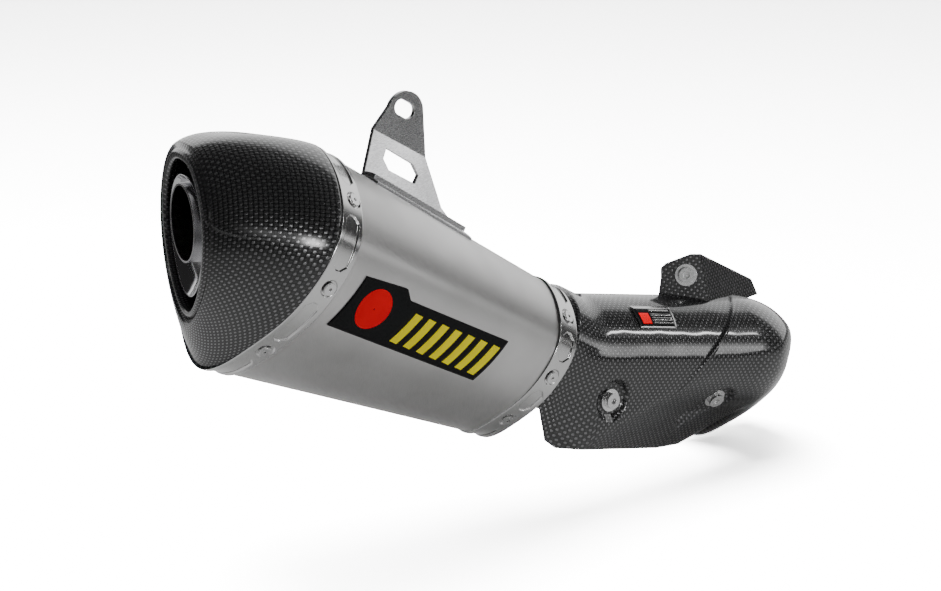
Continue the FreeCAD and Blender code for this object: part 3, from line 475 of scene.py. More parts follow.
def metal(name, colour, roughness, grain=0.05, scale=400.0, stretch=(1, 1, 1), edge=0.25, bump=0.02):
    """Bare metal with a fine grain, cloudy roughness and softened edges."""
    kit = Nodes(name)
    fine = kit.noise(scale, 4.0, stretch)
    cloud = kit.noise(18.0, 2.0)
    rough = kit.math("ADD", kit.ramp(fine, 0.3, 0.7, roughness - grain, roughness + grain),
                     kit.ramp(cloud, 0.3, 0.7, -0.03, 0.03))
    dark = [c * 0.88 for c in colour] + [1]
    tint = kit.mix(kit.ramp(cloud, 0.35, 0.65), list(colour) + [1], dark)
    normal = kit.bump(fine, 0.25, bump, kit.soft_edges(edge))
    kit.set(Base_Color=tint, Metallic=1.0, Roughness=rough, Normal=normal)
    return kit.material


def crown(kit, place):
    """Height across one tow: 0 at its edges and 1 in its middle."""
    local = kit.math("MULTIPLY", kit.math("SUBTRACT", kit.math("FRACT", place), 0.5), 2.0)
    return kit.math("SUBTRACT", 1.0, kit.math("MULTIPLY", local, local))


def carbon(name):
    """Clear-coated twill: each crossing is a small domed pad whose fibres run one way or the other."""
    kit = Nodes(name)
    u, v = kit.uv()
    across = kit.math("DIVIDE", u, WEAVE)
    along = kit.math("DIVIDE", v, WEAVE)
    step = kit.math("ADD", kit.math("FLOOR", across), kit.math("FLOOR", along))
    warp = kit.math("LESS_THAN", kit.math("MODULO", kit.math("ADD", step, ALWAYS_POSITIVE), 2.0), 0.5)
    dome = kit.math("MULTIPLY", crown(kit, across), crown(kit, along))
    strands = kit.math("SINE", kit.math("MULTIPLY", kit.math("ADD", u, v), 9.0))
    height = kit.math("ADD", kit.math("MULTIPLY", dome, kit.ramp(warp, 0.0, 1.0, 0.45, 1.0)),
                      kit.math("MULTIPLY", strands, 0.02))
    pad = kit.ramp(dome, 0.25, 0.65)
    ripple = kit.bump(kit.noise(30.0, 1.0), 1.0, 0.45)
    lit = kit.math("MULTIPLY", pad, kit.ramp(warp, 0.0, 1.0, 0.12, 1.0))
    colour = kit.mix(lit, [0.002, 0.002, 0.0022, 1], [0.18, 0.18, 0.184, 1])
    kit.set(Base_Color=colour, Metallic=kit.ramp(lit, 0.0, 0.5), Roughness=0.34, Specular_IOR_Level=0.2,
            Normal=kit.bump(height, 1.0, 0.16, ripple), Coat_Weight=1.0, Coat_Roughness=0.05, Coat_IOR=1.5,
            Coat_Normal=ripple)
    return kit.material


def plain(name, colour, roughness, metallic=0.0, coat=0.0, shine=0.5):
    """Moulded, printed or rubber surface with slightly uneven gloss."""
    kit = Nodes(name)
    fine = kit.noise(900.0, 3.0)
    cloud = kit.noise(30.0, 2.0)
    rough = kit.ramp(fine, 0.3, 0.7, roughness * 0.7, roughness * 1.3)
    dark = [c * 0.85 for c in colour] + [1]
    tint = kit.mix(kit.ramp(cloud, 0.3, 0.7), list(colour) + [1], dark)
    kit.set(Base_Color=tint, Roughness=rough, Metallic=metallic, Coat_Weight=coat, Coat_Roughness=0.08,
            Specular_IOR_Level=shine, Normal=kit.bump(fine, 0.15, 0.02, kit.soft_edges(0.2)))
    return kit.material


def heat_tinted(name):
    """Straw tint of heated stainless tube, in cloudy patches of two warm shades."""
    kit = Nodes(name)
    cloud = kit.noise(22.0, 3.0)
    fine = kit.noise(500.0, 3.0, (1, 1, 0.2))
    warm = kit.mix(kit.ramp(cloud, 0.35, 0.65), [0.52, 0.47, 0.40, 1], [0.42, 0.36, 0.30, 1])
    kit.set(Base_Color=warm, Metallic=1.0, Roughness=kit.ramp(fine, 0.3, 0.7, 0.24, 0.34),
            Normal=kit.bump(fine, 0.2, 0.006, kit.soft_edges(0.3)))
    return kit.material


def fibre(name):
    kit = Nodes(name)
    strands = kit.noise(300.0, 6.0, (1, 1, 0.15))
    tint = kit.mix(kit.ramp(strands, 0.3, 0.7), [0.62, 0.54, 0.36, 1], [0.85, 0.80, 0.66, 1])
    kit.set(Base_Color=tint, Roughness=0.9, Normal=kit.bump(strands, 0.8, 1.0))
    return kit.material


TITANIUM = metal("titanium", (0.66, 0.655, 0.65), 0.36, 0.03, 900.0, edge=0.2, bump=0.012)
RING = metal("ring_metal", (0.74, 0.74, 0.735), 0.17, 0.03, 500.0, (1, 1, 4), edge=0.15, bump=0.01)
RIVET = metal("rivet_metal", (0.80, 0.80, 0.80), 0.20, 0.04, 600.0, edge=0.35)
POLISHED = metal("polished", (0.58, 0.58, 0.59), 0.13, 0.03, 300.0, edge=0.2, bump=0.008)
BRACKET = metal("bracket_metal", (0.66, 0.66, 0.67), 0.27, 0.04, 350.0, (1, 1, 6), edge=0.5, bump=0.005)
WELDED = metal("inner_metal", (0.42, 0.41, 0.40), 0.40, 0.08, 300.0, edge=0.3)
CLAMP = metal("clamp_metal", (0.62, 0.62, 0.62), 0.24, 0.05, 400.0, edge=0.3)
SCREW = metal("screw_metal", (0.80, 0.80, 0.80), 0.26, 0.05, 500.0, edge=0.35)
WASHER = metal("washer_metal", (0.86, 0.86, 0.86), 0.24, 0.05, 500.0, edge=0.3)
PIPE = heat_tinted("heated_pipe")
CARBON = carbon("carbon")
CARBON_PLAIN = plain("carbon_inside", (0.012, 0.012, 0.013), 0.45, 0.0, 0.3)
BLACK = plain("badge_black", (0.006, 0.006, 0.0065), 0.5, shine=0.1)
RED = plain("badge_red", (0.85, 0.0, 0.008), 0.5, shine=0.05)
YELLOW = plain("badge_yellow", (1.0, 0.86, 0.0), 0.5, shine=0.05)
SILVER = metal("badge_silver", (0.75, 0.75, 0.75), 0.25, 0.04, 500.0, edge=0.1)
RUBBER = plain("bush_rubber", (0.02, 0.02, 0.02), 0.6)
GRAPHITE = plain("graphite", (0.04, 0.04, 0.045), 0.55, 0.4)
WOOL = fibre("packing")

NODE_MATERIALS = {
    "sleeve": TITANIUM, "front_ring": RING, "rear_ring": RING, "front_rivets": RIVET, "rear_rivets": RIVET,
    "front_cap": WELDED, "inlet_collar": PIPE, "core_tube": WELDED, "packing_wool": WOOL,
    "rear_bulkhead": WELDED, "cap_flange": WELDED, "outlet_cap": CARBON_PLAIN, "outlet_cup": POLISHED,
    "outlet_tube": POLISHED, "link_pipe": PIPE, "inlet_socket": PIPE, "inlet_gasket": GRAPHITE,
    "inlet_clamp_band": CLAMP, "inlet_clamp_bolt": SCREW, "inlet_clamp_nut": SCREW,
    "joint_clamp_band": CLAMP, "joint_clamp_bolt": SCREW, "joint_clamp_nut": SCREW,
    "hanger_bracket": BRACKET, "hanger_saddle": BRACKET, "sleeve_badge": BLACK,
    "heat_shield": CARBON_PLAIN, "shield_badge": SILVER, "shield_washers": WASHER, "shield_screws": SCREW,
    "shield_bushes": RUBBER, "shield_lugs": WELDED,
}


def dress_cad_nodes():
    for name, material in NODE_MATERIALS.items():
        mesh = nodes[name].data
        mesh.materials.clear()
        mesh.materials.append(material)


# ---------------------------------------------------------------- muffler body

def build_sleeve():
    spots = around(481)
    levels = np.linspace(SLEEVE_UNDER_RING, BODY_LENGTH - SLEEVE_UNDER_RING, 61)
    points = np.array([body_section(z, 0.0, spots) for z in levels])
    piece = grid_object("sleeve_skin", "muffler", in_row(points), TITANIUM)
    weld(piece)
    thicken(piece, SLEEVE_WALL)
    outward(piece)
    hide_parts("sleeve")


def smooth_step(value, low, high):
    t = np.clip((value - low) / (high - low), 0, 1)
    return t * t * (3 - 2 * t)


def ring_relief(lengths, spots, across, rivet_across):
    """Height of the pressed pads and rivet dimples over a plain band, per column at one level."""
    total = lengths[-1]
    rivets = np.sort(np.interp([SEAM + (s - SEAM) % OUTLINE_POINTS for s in RIVET_SPOTS], spots, lengths))
    relief = np.zeros(len(spots))
    for place in rivets:
        away = np.abs(lengths - place)
        away = np.minimum(away, total - away)
        distance = np.hypot(away, across - rivet_across)
        relief -= DIMPLE_DEPTH * (1 - smooth_step(distance, DIMPLE_RADIUS - 1.0, DIMPLE_RADIUS))
    for place, following in zip(rivets, np.append(rivets[1:], rivets[0] + total)):
        middle = (place + following) / 2
        half = (following - place) / 2 - PAD_RIVET_GAP
        away = np.abs((lengths - middle + total / 2) % total - total / 2)
        inside_wide = PAD_HALF_WIDTH - abs(across - RING_WIDTH / 2)
        inside_long = half - away
        chamfer = (inside_wide + inside_long - PAD_CHAMFER) / math.sqrt(2)
        depth = np.minimum(np.minimum(inside_wide, inside_long), chamfer)
        relief -= PAD_DEPTH * smooth_step(depth, 0.0, PAD_EDGE)
    return relief


def build_ring(name, start, rivet_z):
    spots = around(1601)
    levels = np.linspace(0.0, RING_WIDTH, 61)
    rows = []
    for across in levels:
        section = body_section(start + across, RING_THICKNESS, spots)
        lengths = arc_lengths(section[None])[0]
        edge = min(across, RING_WIDTH - across)
        drop = RING_LIP_DROP * (1 - math.sqrt(1 - (1 - min(edge, RING_LIP) / RING_LIP) ** 2))
        relief = ring_relief(lengths, spots, across, rivet_z - start) - drop
        rows.append(section + normals_in_section(section) * relief[:, None])
    lips = [body_section(start, SLIP, spots)] + rows + [body_section(start + RING_WIDTH, SLIP, spots)]
    piece = grid_object(name + "_skin", "muffler", in_row(np.array(lips)), RING)
    weld(piece)
    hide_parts(name)


# ---------------------------------------------------------------- end cap and outlet

OUTLET_AXIS = np.array((-math.sin(OUTLET_TURN), -math.cos(OUTLET_TURN) * math.sin(PITCH),
                        math.cos(OUTLET_TURN) * math.cos(PITCH)))
OUTLET_UP = np.array((0.0, math.cos(PITCH), math.sin(PITCH)))
OUTLET_SIDE = np.cross(OUTLET_UP, OUTLET_AXIS)


def outlet_points(flat, offset):
    """Points drawn on the outlet face, moved along the outlet axis."""
    centre = OUTLET_CENTRE + OUTLET_AXIS * offset
    return centre + flat[:, :1] * OUTLET_SIDE + flat[:, 1:2] * OUTLET_UP


def cap_section(share, grow, spots):
    ring_centre = np.array((0.0, -CENTRE_DROP, BODY_LENGTH + SLIP))
    reach = np.linalg.norm(OUTLET_CENTRE - ring_centre)
    rear = np.array((0.0, 0.0, 1.0))
    s2 = share * share
    s3 = s2 * share
    centre = ring_centre * (2 * s3 - 3 * s2 + 1) + rear * reach * 0.4 * (s3 - 2 * s2 + share)
    centre = centre + OUTLET_CENTRE * (3 * s2 - 2 * s3) + OUTLET_AXIS * reach * 0.4 * (s3 - s2)
    axis = unit(rear * (1 - share) + OUTLET_AXIS * share)
    side = unit(np.array((1.0, 0.0, 0.0)) * (1 - share) + OUTLET_SIDE * share)
    side = unit(side - axis * np.dot(side, axis))
    up = np.cross(axis, side)
    taper = share ** 1.5
    outline = np.array(BODY_OUTLINE) * (1 - taper) + mirrored(CAP_END_OUTLINE) * taper
    flat = periodic(outline, spots) * (1 + grow / HALF_WIDTH, 1 + grow / HALF_HEIGHT)
    return centre + flat[:, :1] * side + flat[:, 1:2] * up


def build_cap():
    spots = around(481)
    grow = RING_THICKNESS - CAP_STEP
    end = periodic(mirrored(CAP_END_OUTLINE), spots)
    opening = periodic(mirrored(OPENING_OUTLINE), spots)
    rows = [cap_section(0.0, grow - CAP_WALL, spots), cap_section(0.0, grow - 0.5, spots)]
    rows += [cap_section(share, grow, spots) for share in np.linspace(0.008, 0.93, 60)]
    for angle in np.radians(np.linspace(12, 90, 10)):
        share = CAP_ROLL_SHARE * (1 - math.cos(angle))
        depth = -CAP_ROLL_DEPTH * (1 - math.sin(angle))
        rows.append(outlet_points(end * (1 - share) + opening * share, depth))
    for share in ((CAP_ROLL_SHARE + LIP_SHARE) / 2, LIP_SHARE):
        rows.append(outlet_points(end * (1 - share) + opening * share, 0.0))
    for angle in np.radians(np.linspace(10, 90, 7)):
        share = LIP_SHARE + (1 - LIP_SHARE) * math.sin(angle)
        depth = -LIP_DEPTH * (1 - math.cos(angle))
        rows.append(outlet_points(end * (1 - share) + opening * share, depth))
    rows += [outlet_points(opening * scale, offset) for scale, offset in THROAT]
    points = np.array(rows)
    lengths = np.linalg.norm(np.diff(points, axis=0), axis=2).mean(axis=1)
    down = np.concatenate([[0], np.cumsum(lengths)])
    mean_round = arc_lengths(points[2:3])[0]
    uvs = np.empty(points.shape[:2] + (2,))
    uvs[..., 0] = mean_round * 0.86
    uvs[..., 1] = down[:, None]
    piece = grid_object("outlet_cap_skin", "muffler", in_row(points), CARBON, uvs)
    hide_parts("outlet_cap")


def circle_matching(flat, radius):
    """Points of a circle at the same angles as the outline's points."""
    return flat / np.linalg.norm(flat, axis=1, keepdims=True) * radius


def build_cup():
    spots = around(241)
    rim = periodic(mirrored(CUP_OUTLINE), spots)
    round_hole = circle_matching(rim, OUTLET_RADIUS + 0.1)
    inner = 1 - 2 * CUP_RIM_INSET
    rows = [outlet_points(rim, CUP_BACK), outlet_points(rim, CUP_RIM - 0.1)]
    for angle in np.radians(np.linspace(0, 180, 9)):
        scale = 1 - CUP_RIM_INSET * (1 - math.cos(angle))
        rows.append(outlet_points(rim * scale, CUP_RIM + CUP_RIM_HEIGHT * math.sin(angle)))
    for share in np.linspace(0.1, 1.0, 12):
        shape = rim * inner * (1 - share) + round_hole * share
        depth = CUP_RIM - CUP_DEPTH * math.sin(share * math.pi / 2) ** 0.8
        rows.append(outlet_points(shape * (inner * (1 - share) + share), depth))
    piece = grid_object("outlet_cup_skin", "muffler", in_row(np.array(rows)), POLISHED)
    weld(piece)
    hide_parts("outlet_cup")


# ---------------------------------------------------------------- badges

def outboard_point(height, z, grow):
    """Point of the body's outboard side at a height, in the muffler frame."""
    spots = np.linspace(2.6, 7.4, 400)
    section = body_section(z, grow, spots)
    spot = np.interp(-height, -section[:, 1], spots)
    return body_section(z, grow, np.array([spot]))[0]


def side_patch(name, low_line, high_line, grow, material, columns=40, rows=8):
    """Patch that follows the sleeve between two lines given as (height, z) ends."""
    grid = []
    for v in np.linspace(0, 1, rows):
        row = []
        for u in np.linspace(0, 1, columns):
            low = low_line(u)
            high = high_line(u)
            height = low[0] * (1 - v) + high[0] * v
            z = low[1] * (1 - v) + high[1] * v
            row.append(outboard_point(height, z, grow))
        grid.append(row)
    return grid_object(name, "muffler", in_row(np.array(grid)), material)


def broken_line(corners):
    corners = np.array(corners, float)
    shares = np.linspace(0, 1, len(corners))
    return lambda u: np.array([np.interp(u, shares, corners[:, k]) for k in range(2)])


def build_sleeve_badge():
    low = broken_line([(-36, 213), (-33.3, 165), (-30.7, 118), (-28, 71)])
    top_shares = np.array((0, 0.25, 0.30, 1.0))
    top = np.array([(0.5, 209), (5, 172), (-1, 165), (4, 66)], float)
    plate = side_patch("sleeve_badge_plate", low,
                       lambda u: np.array([np.interp(u, top_shares, top[:, k]) for k in range(2)]),
                       BADGE_LIFT, BLACK, 80, 24)
    thicken(plate, BADGE_WALL)
    outward(plate)
    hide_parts("sleeve_badge")
    build_mark()
    build_bars()


def build_mark():
    """Plain round spot at the wide end of the badge."""
    rows = []
    for radius in np.linspace(0.4, SPOT_RADIUS, 8):
        ring = []
        for angle in np.linspace(0, 2 * math.pi, 49):
            height = SPOT_CENTRE[0] + radius * math.sin(angle)
            z = SPOT_CENTRE[1] + radius * math.cos(angle)
            ring.append(outboard_point(height, z, MARK_LIFT))
        rows.append(ring)
    piece = grid_object("badge_spot", "muffler", in_row(np.array(rows)), RED)


def build_bars():
    """Row of slanted stripes along the badge."""
    for k in range(STRIPES):
        forward = k * STRIPE_PITCH
        z = STRIPE_START - forward
        top_z = z - STRIPE_SLANT
        low_height = -28.5 + forward * 0.045
        high_height = -6.5 + forward * 0.055
        low = broken_line([(low_height, z), (low_height, z - STRIPE_WIDTH)])
        high = broken_line([(high_height, top_z), (high_height, top_z - STRIPE_WIDTH)])
        piece = side_patch("badge_stripe_%d" % (k + 1), low, high, MARK_LIFT, YELLOW, 4, 12)


def shield_point(x, z, lift):
    """Point on the run's outboard side at x and z from the run's start."""
    across = np.array((x, 0.0, z))
    along = np.dot(across, RUN_AXIS)
    up = np.cross(OUTBOARD, RUN_AXIS)
    up = up if up[2] > 0 else -up
    height = np.dot(across, up)
    out = math.sqrt((SHIELD_RADIUS + lift) ** 2 - height ** 2)
    return RUN_START + RUN_AXIS * along + up * height + OUTBOARD * out


def shield_patch(name, corners, lift, material):
    """Patch on the run's surface between four corners (x, z)."""
    a, b, c, d = [np.array(corner, float) for corner in corners]
    grid = []
    for v in np.linspace(0, 1, 10):
        row = []
        for u in np.linspace(0, 1, 16):
            spot = (a * (1 - u) + b * u) * (1 - v) + (d * (1 - u) + c * u) * v
            row.append(shield_point(spot[0], spot[1], lift))
        grid.append(row)
    piece = grid_object(name, "link", np.array(grid), material)
    thicken(piece, SHIELD_MARK_WALL)
    outward(piece)
    return piece


def inset_corners(corners, u0, u1, v0, v1):
    a, b, c, d = [np.array(corner, float) for corner in corners]

    def at(u, v):
        return (a * (1 - u) + b * u) * (1 - v) + (d * (1 - u) + c * u) * v
    return (at(u0, v0), at(u1, v0), at(u1, v1), at(u0, v1))


def build_shield_badge():
    plate = shield_patch("shield_badge_plate", SHIELD_BADGE, SHIELD_PLATE_LIFT, SILVER)
    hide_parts("shield_badge")
    inner = inset_corners(SHIELD_BADGE, 0.04, 0.96, 0.1, 0.92)
    field = shield_patch("shield_badge_field", inner, SHIELD_FIELD_LIFT, BLACK)
    inner = inset_corners(SHIELD_BADGE, 0.10, 0.34, 0.3, 0.8)
    block = shield_patch("shield_badge_block", inner, SHIELD_MARK_LIFT, RED)
    for k, (v0, v1) in enumerate(((0.14, 0.2), (0.32, 0.4), (0.48, 0.62), (0.7, 0.76))):
        line = inset_corners(SHIELD_BADGE, 0.38, 0.92, v0, v1)
        piece = shield_patch("shield_badge_line_%d" % (k + 1), line, SHIELD_MARK_LIFT, SILVER)


# ---------------------------------------------------------------- heat shield

def path_frame(s):
    """Point, outboard and up directions of the pipe's path; s runs back from the inlet mouth."""
    up = unit(np.cross(OUTBOARD, RUN_AXIS))
    up = up if up[2] > 0 else -up
    elbow_length = ELBOW_RADIUS * ELBOW_ANGLE
    bend_length = BEND_RADIUS * BEND_ANGLE
    run_from = STUB_LENGTH + elbow_length
    run_to = run_from + RUN_LENGTH
    if s < run_from:
        angle = min(run_from - s, elbow_length) / ELBOW_RADIUS
        point = ELBOW_CENTRE + turned(RUN_START - ELBOW_CENTRE, ELBOW_AXIS, -angle)
        out_way = turned(OUTBOARD, ELBOW_AXIS, -angle)
        up_way = turned(up, ELBOW_AXIS, -angle)
        rest = max(STUB_LENGTH - s, 0.0)
        return point - INLET_AXIS * rest, out_way, up_way
    if s <= run_to:
        return RUN_START + RUN_AXIS * (s - run_from), OUTBOARD, up
    angle = min(s - run_to, bend_length) / BEND_RADIUS
    point = BEND_CENTRE + turned(RUN_END - BEND_CENTRE, BEND_AXIS, angle)
    up_way = turned(up, BEND_AXIS, angle)
    return point + REARWARD * max(s - run_to - bend_length, 0.0), OUTBOARD, up_way


def smooth_max(a, b, k):
    h = np.clip(0.5 - 0.5 * (a - b) / k, 0, 1)
    return a * (1 - h) + b * h + k * h * (1 - h)


def smooth_min(a, b, k):
    return -smooth_max(-a, -b, k)


def skirt_distance(p):
    """Signed distance to the skirt's block; p is from the run's start."""
    outer = -p[..., 1] - SKIRT_REACH
    under = (p - UNDER_POINT) @ unit(UNDER_NORMAL)
    top = (p[..., 2] + math.tan(RUN_SLOPE) * p[..., 0]) * math.cos(RUN_SLOPE)
    right = p[..., 0] - SKIRT_FRONT
    shape = smooth_max(outer, under, 2.0)
    shape = smooth_max(shape, top, 8.0)
    shape = smooth_max(shape, p[..., 1] - SKIRT_BACK, 3.0)
    return smooth_max(shape, right, 12.0)


def recess_distance(p):
    """Signed distance to the two screw recesses."""
    q = p - SKIRT_SEAT
    axis = unit(SKIRT_SEAT_AXIS)
    height = q @ axis
    radius = np.linalg.norm(q - height[..., None] * axis, axis=-1)
    pocket = smooth_max(radius - RECESS_RADIUS - height * POCKET_FLARE, -height, POCKET_ROUNDING)
    q = p - ELBOW_SEAT
    axis = unit(ELBOW_SEAT_AXIS)
    height = q @ axis
    flat = q - height[..., None] * axis
    tail = SCOOP_TIP - ELBOW_SEAT
    tail = tail - axis * np.dot(tail, axis)
    length = np.linalg.norm(tail)
    share = np.clip(flat @ tail / length ** 2, 0, 1)
    away = np.linalg.norm(flat - share[..., None] * tail, axis=-1)
    radius = RECESS_RADIUS - SCOOP_TAPER * share
    scoop = smooth_max(away - radius - height * SCOOP_FLARE, -height, SCOOP_ROUNDING)
    return np.minimum(pocket, scoop)


def ridge_lift(s_from_run, degrees):
    """Small bead and step where the nose is laid over the run."""
    line = np.interp(degrees, RIDGE_ANGLES, RIDGE_ALONG)
    slope = np.gradient(line, np.radians(degrees) * SHIELD_RADIUS)
    away = (s_from_run - line) / np.sqrt(1 + slope ** 2)
    bead = RIDGE_BEAD * np.exp(-(away / RIDGE_BEAD_WIDTH) ** 2)
    step = RIDGE_STEP * smooth_step(-away, -2.0, 3.0)
    fade = smooth_step(degrees, -75.0, -35.0)
    return (bead + step) * fade


def left_trim_distance(p):
    """Distance inside the shield's rear edge."""
    away = [-(p - np.array(point)) @ unit(normal) for point, normal in SHIELD_TRIMS[:3]]
    return np.min(away, axis=0)


def build_shield():
    """Skin found along rays from the pipe's path, from the inlet round the elbow to the muffler."""
    elbow_length = ELBOW_RADIUS * ELBOW_ANGLE
    run_from = STUB_LENGTH + elbow_length
    stations = np.arange(2.0, run_from + RUN_LENGTH + BEND_RADIUS * BEND_ANGLE + 30.0, 1.0)
    degrees = np.linspace(-168.0, 178.0, 520)
    angles = np.radians(degrees)
    step = 1.5
    reaches = np.arange(14.0, 112.0, step)
    grid = []
    for s in stations:
        centre, out_way, up_way = path_frame(s)
        ways = np.cos(angles)[:, None] * out_way + np.sin(angles)[:, None] * up_way
        p = centre - RUN_START + ways[:, None, :] * reaches[None, :, None]
        tube = np.broadcast_to(reaches - SHIELD_RADIUS, p.shape[:2])
        lift = ridge_lift(s - run_from, degrees)
        shape = smooth_min(tube - lift[:, None], skirt_distance(p), SKIRT_BLEND)
        for point, normal in NOSE_FACETS:
            shape = smooth_max(shape, (p - np.array(point)) @ unit(normal), NOSE_ROUNDING)
        shape = smooth_max(shape, -recess_distance(p), RECESS_ROUNDING)
        inside = shape < 0
        last = inside.shape[1] - 1 - np.argmax(inside[:, ::-1], axis=1)
        last = np.clip(last, 0, len(reaches) - 2)
        row = np.arange(len(degrees))
        near = shape[row, last]
        far = shape[row, last + 1]
        reach = reaches[last] + step * np.clip(near / np.minimum(near - far, -1e-6), 0, 1)
        surface = centre - RUN_START + ways * reach[:, None]
        edge = left_trim_distance(surface)
        reach = reach - EDGE_ROLL_SLOPE * np.clip(EDGE_ROLL - edge, 0, EDGE_ROLL)
        grid.append(centre + ways * reach[:, None])
    points = np.array(grid)
    uvs = np.empty(points.shape[:2] + (2,))
    uvs[..., 0] = stations[:, None]
    across = arc_lengths(points)
    middle = np.argmin(np.abs(degrees - 20.0))
    uvs[..., 1] = across - across[:, middle:middle + 1]
    piece = grid_object("heat_shield_skin", "link", points, CARBON, uvs)
    trim_shield(piece)
    thicken(piece, SHIELD_WALL)
    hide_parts("heat_shield")


def is_skirt_back(face):
    """True for the faces that would close the skirt on its open inboard side."""
    middle = np.array(face.calc_center_median()) / MM - RUN_START
    below = -(middle[2] + math.tan(RUN_SLOPE) * middle[0]) * math.cos(RUN_SLOPE)
    under_skirt = -200.0 < middle[0] < 20.0 and below > 0
    outside_tube = math.hypot(below, middle[1]) > SHIELD_RADIUS + 3.0
    return under_skirt and outside_tube and middle[1] > SKIRT_OPEN_FROM


def trim_shield(piece):
    work = bmesh.new()
    work.from_mesh(piece.data)

    def cut(faces, plane, clear):
        point, normal = plane
        edges = {edge for face in faces for edge in face.edges}
        corners = {corner for face in faces for corner in face.verts}
        place = (RUN_START + np.array(point, float)) * MM
        bmesh.ops.bisect_plane(work, geom=list(corners) + list(edges) + list(faces), plane_co=Vector(place),
                               plane_no=Vector(normal), clear_outer=clear)

    def beyond(face):
        point, normal = INBOARD_EDGE
        return (np.array(face.calc_center_median()) / MM - RUN_START - point) @ unit(normal) > 0

    cut(list(work.faces), INBOARD_EDGE, False)
    for plane in SHIELD_TRIMS:
        cut([face for face in work.faces if not beyond(face)], plane, True)
    for plane in LEG_TRIMS:
        cut([face for face in work.faces if beyond(face)], plane, True)
    spare = [face for face in work.faces if not beyond(face) and is_skirt_back(face)]
    bmesh.ops.delete(work, geom=spare, context="FACES")
    work.to_mesh(piece.data)
    work.free()


def plate_frame(corners):
    points = RUN_START + np.array(corners, float)
    normal = unit(np.cross(points[2] - points[0], points[-1] - points[0]))
    if normal[1] > 0:
        normal = -normal
    flat = points - ((points - points[0]) @ normal)[:, None] * normal
    return flat, normal


def build_tab(name, corners):
    flat, normal = plate_frame(corners)
    count = len(flat)
    verts = np.vstack([flat, flat - normal * SHIELD_WALL])
    side = unit(flat[-1] - flat[0])
    upright = np.cross(normal, side)
    uvs = np.column_stack([verts @ side, verts @ upright])
    faces = [list(range(count)), list(range(2 * count - 1, count - 1, -1))]
    faces += [[k, k + count, (k + 1) % count + count, (k + 1) % count] for k in range(count)]
    piece = make_object(name, "link", verts, faces, CARBON, uvs, smooth=False)
    outward(piece)


# ---------------------------------------------------------------- stage, light and camera

def sky_direction(azimuth, elevation):
    """Unit vector; azimuth 0 looks to -Y and 90 to +X, in degrees."""
    flat = math.cos(math.radians(elevation))
    turn = math.radians(azimuth)
    return (math.sin(turn) * flat, -math.cos(turn) * flat, math.sin(math.radians(elevation)))


def paint_sky(world):
    """Dark room with a pale sweep low down behind the object and soft lamps."""
    kit = Tree(world.node_tree)
    background = kit.tree.nodes["Background"]
    where = kit.tree.nodes.new("ShaderNodeTexCoord").outputs["Generated"]

    def dot(vector):
        return kit.vector_math("DOT_PRODUCT", where, vector)

    behind = kit.ramp(dot(sky_direction(SWEEP_AZIMUTH, 0.0)), 0.60, 0.72, smooth=True)
    low = kit.ramp(dot((0.0, 0.0, 1.0)), 0.50, 0.85, 1.0, 0.0, smooth=True)
    total = kit.math("MULTIPLY", kit.math("MULTIPLY", behind, low), SWEEP_GLOW)
    total = kit.math("ADD", total, ROOM_GLOW)
    for azimuth, elevation, wide, high, strength in SKY_LAMPS:
        turn = math.radians(azimuth)
        side = (math.cos(turn), math.sin(turn), 0.0)
        middle = Vector(sky_direction(azimuth, elevation))
        up = Vector(side).cross(middle)
        up = -up if up.z < 0 else up
        across = kit.math("DIVIDE", dot(side), math.sin(math.radians(wide)))
        along = kit.math("DIVIDE", dot(tuple(up)), math.sin(math.radians(high)))
        spread = kit.math("ADD", kit.math("MULTIPLY", across, across), kit.math("MULTIPLY", along, along))
        glow = kit.math("POWER", LAMP_FALL, spread)
        facing = kit.ramp(dot(tuple(middle)), 0.0, 0.2, 0.0, strength, smooth=True)
        total = kit.math("ADD", total, kit.math("MULTIPLY", glow, facing))
    kit.link(total, background.inputs[1])
    background.inputs[0].default_value = (1, 1, 1, 1)


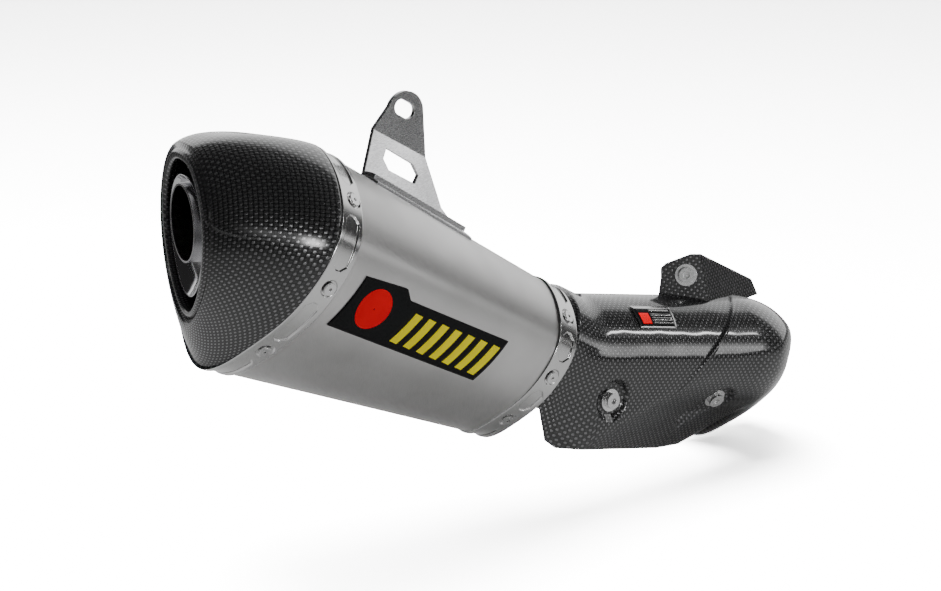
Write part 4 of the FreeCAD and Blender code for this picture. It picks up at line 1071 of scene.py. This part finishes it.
def build_stage():
    low = cad_box[0]
    mesh = bpy.data.meshes.new("floor")
    z = low[2] - FLOOR_GAP
    corners = [(x * FLOOR_SIZE, y * FLOOR_SIZE, z) for x, y in ((-1, -1), (1, -1), (1, 1), (-1, 1))]
    mesh.from_pydata(corners, [], [(0, 1, 2, 3)])
    kit = Nodes("floor_paper")
    grain = kit.noise(40.0, 2.0)
    rays = kit.tree.nodes.new("ShaderNodeLightPath")
    where = kit.tree.nodes.new("ShaderNodeTexCoord")
    away = kit.vector_math("LENGTH", where.outputs["Object"])
    # Painted reflection: surfaces that mirror the floor or take light from it see it grey near the object,
    # then a painted dark band from 0.7-1.3 m out, then a painted glow of three times white from 3.5-6.5 m
    # out. The camera sees the floor evenly bright.
    near_tone = kit.mix(grain, [0.42, 0.42, 0.42, 1], [0.46, 0.46, 0.46, 1])
    painted_dark_band_tone = kit.mix(kit.ramp(away, 0.7, 1.3), near_tone, [0.10, 0.10, 0.10, 1])
    painted_reflection_tone = kit.mix(kit.ramp(away, 3.5, 6.5), painted_dark_band_tone, [3.0, 3.0, 3.0, 1])
    seen_tone = [FLOOR_SEEN, FLOOR_SEEN, FLOOR_SEEN, 1]
    tone = kit.mix(rays.outputs["Is Camera Ray"], painted_reflection_tone, seen_tone)
    kit.set(Base_Color=tone, Roughness=1.0, Specular_IOR_Level=0.0)
    mesh.materials.append(kit.material)
    floor = bpy.data.objects.new("floor", mesh)
    bpy.context.scene.collection.objects.link(floor)
    world = bpy.data.worlds.new("studio")
    world.use_nodes = True
    paint_sky(world)
    bpy.context.scene.world = world


def build_light():
    """Wide soft light over the object that no glossy surface mirrors."""
    data = bpy.data.lights.new("top_light", "AREA")
    data.shape = "RECTANGLE"
    data.size = 1.8
    data.size_y = 1.2
    data.energy = 55.0
    light = bpy.data.objects.new("top_light", data)
    light.location = (-0.6, 0.0, 1.7)
    way = Vector((-0.25, -0.09, 0.11)) - light.location
    light.rotation_euler = way.to_track_quat("-Z", "Y").to_euler()
    bpy.context.scene.collection.objects.link(light)
    light.visible_glossy = False


def build_camera():
    back = Vector(sky_direction(CAMERA_AZIMUTH, CAMERA_ELEVATION))
    look_at = Vector((MUFFLER_ORIGIN + CAMERA_TARGET) * MM)
    data = bpy.data.cameras.new("camera")
    data.sensor_width = 36.0
    data.lens = CAMERA_LENS
    camera = bpy.data.objects.new("camera", data)
    camera.location = look_at + back * CAMERA_DISTANCE
    camera.rotation_euler = (-back).to_track_quat("-Z", "Y").to_euler()
    bpy.context.scene.collection.objects.link(camera)
    bpy.context.scene.camera = camera


dress_cad_nodes()
build_sleeve()
build_ring("front_ring", 0.0, FRONT_RIVET_Z)
build_ring("rear_ring", BODY_LENGTH - RING_WIDTH, REAR_RIVET_Z)
build_cap()
build_cup()
build_sleeve_badge()
build_shield_badge()
build_shield()
build_tab("shield_tab_rear", TAB_LEFT)
build_tab("shield_tab_front", TAB_RIGHT)
build_stage()
build_light()
build_camera()
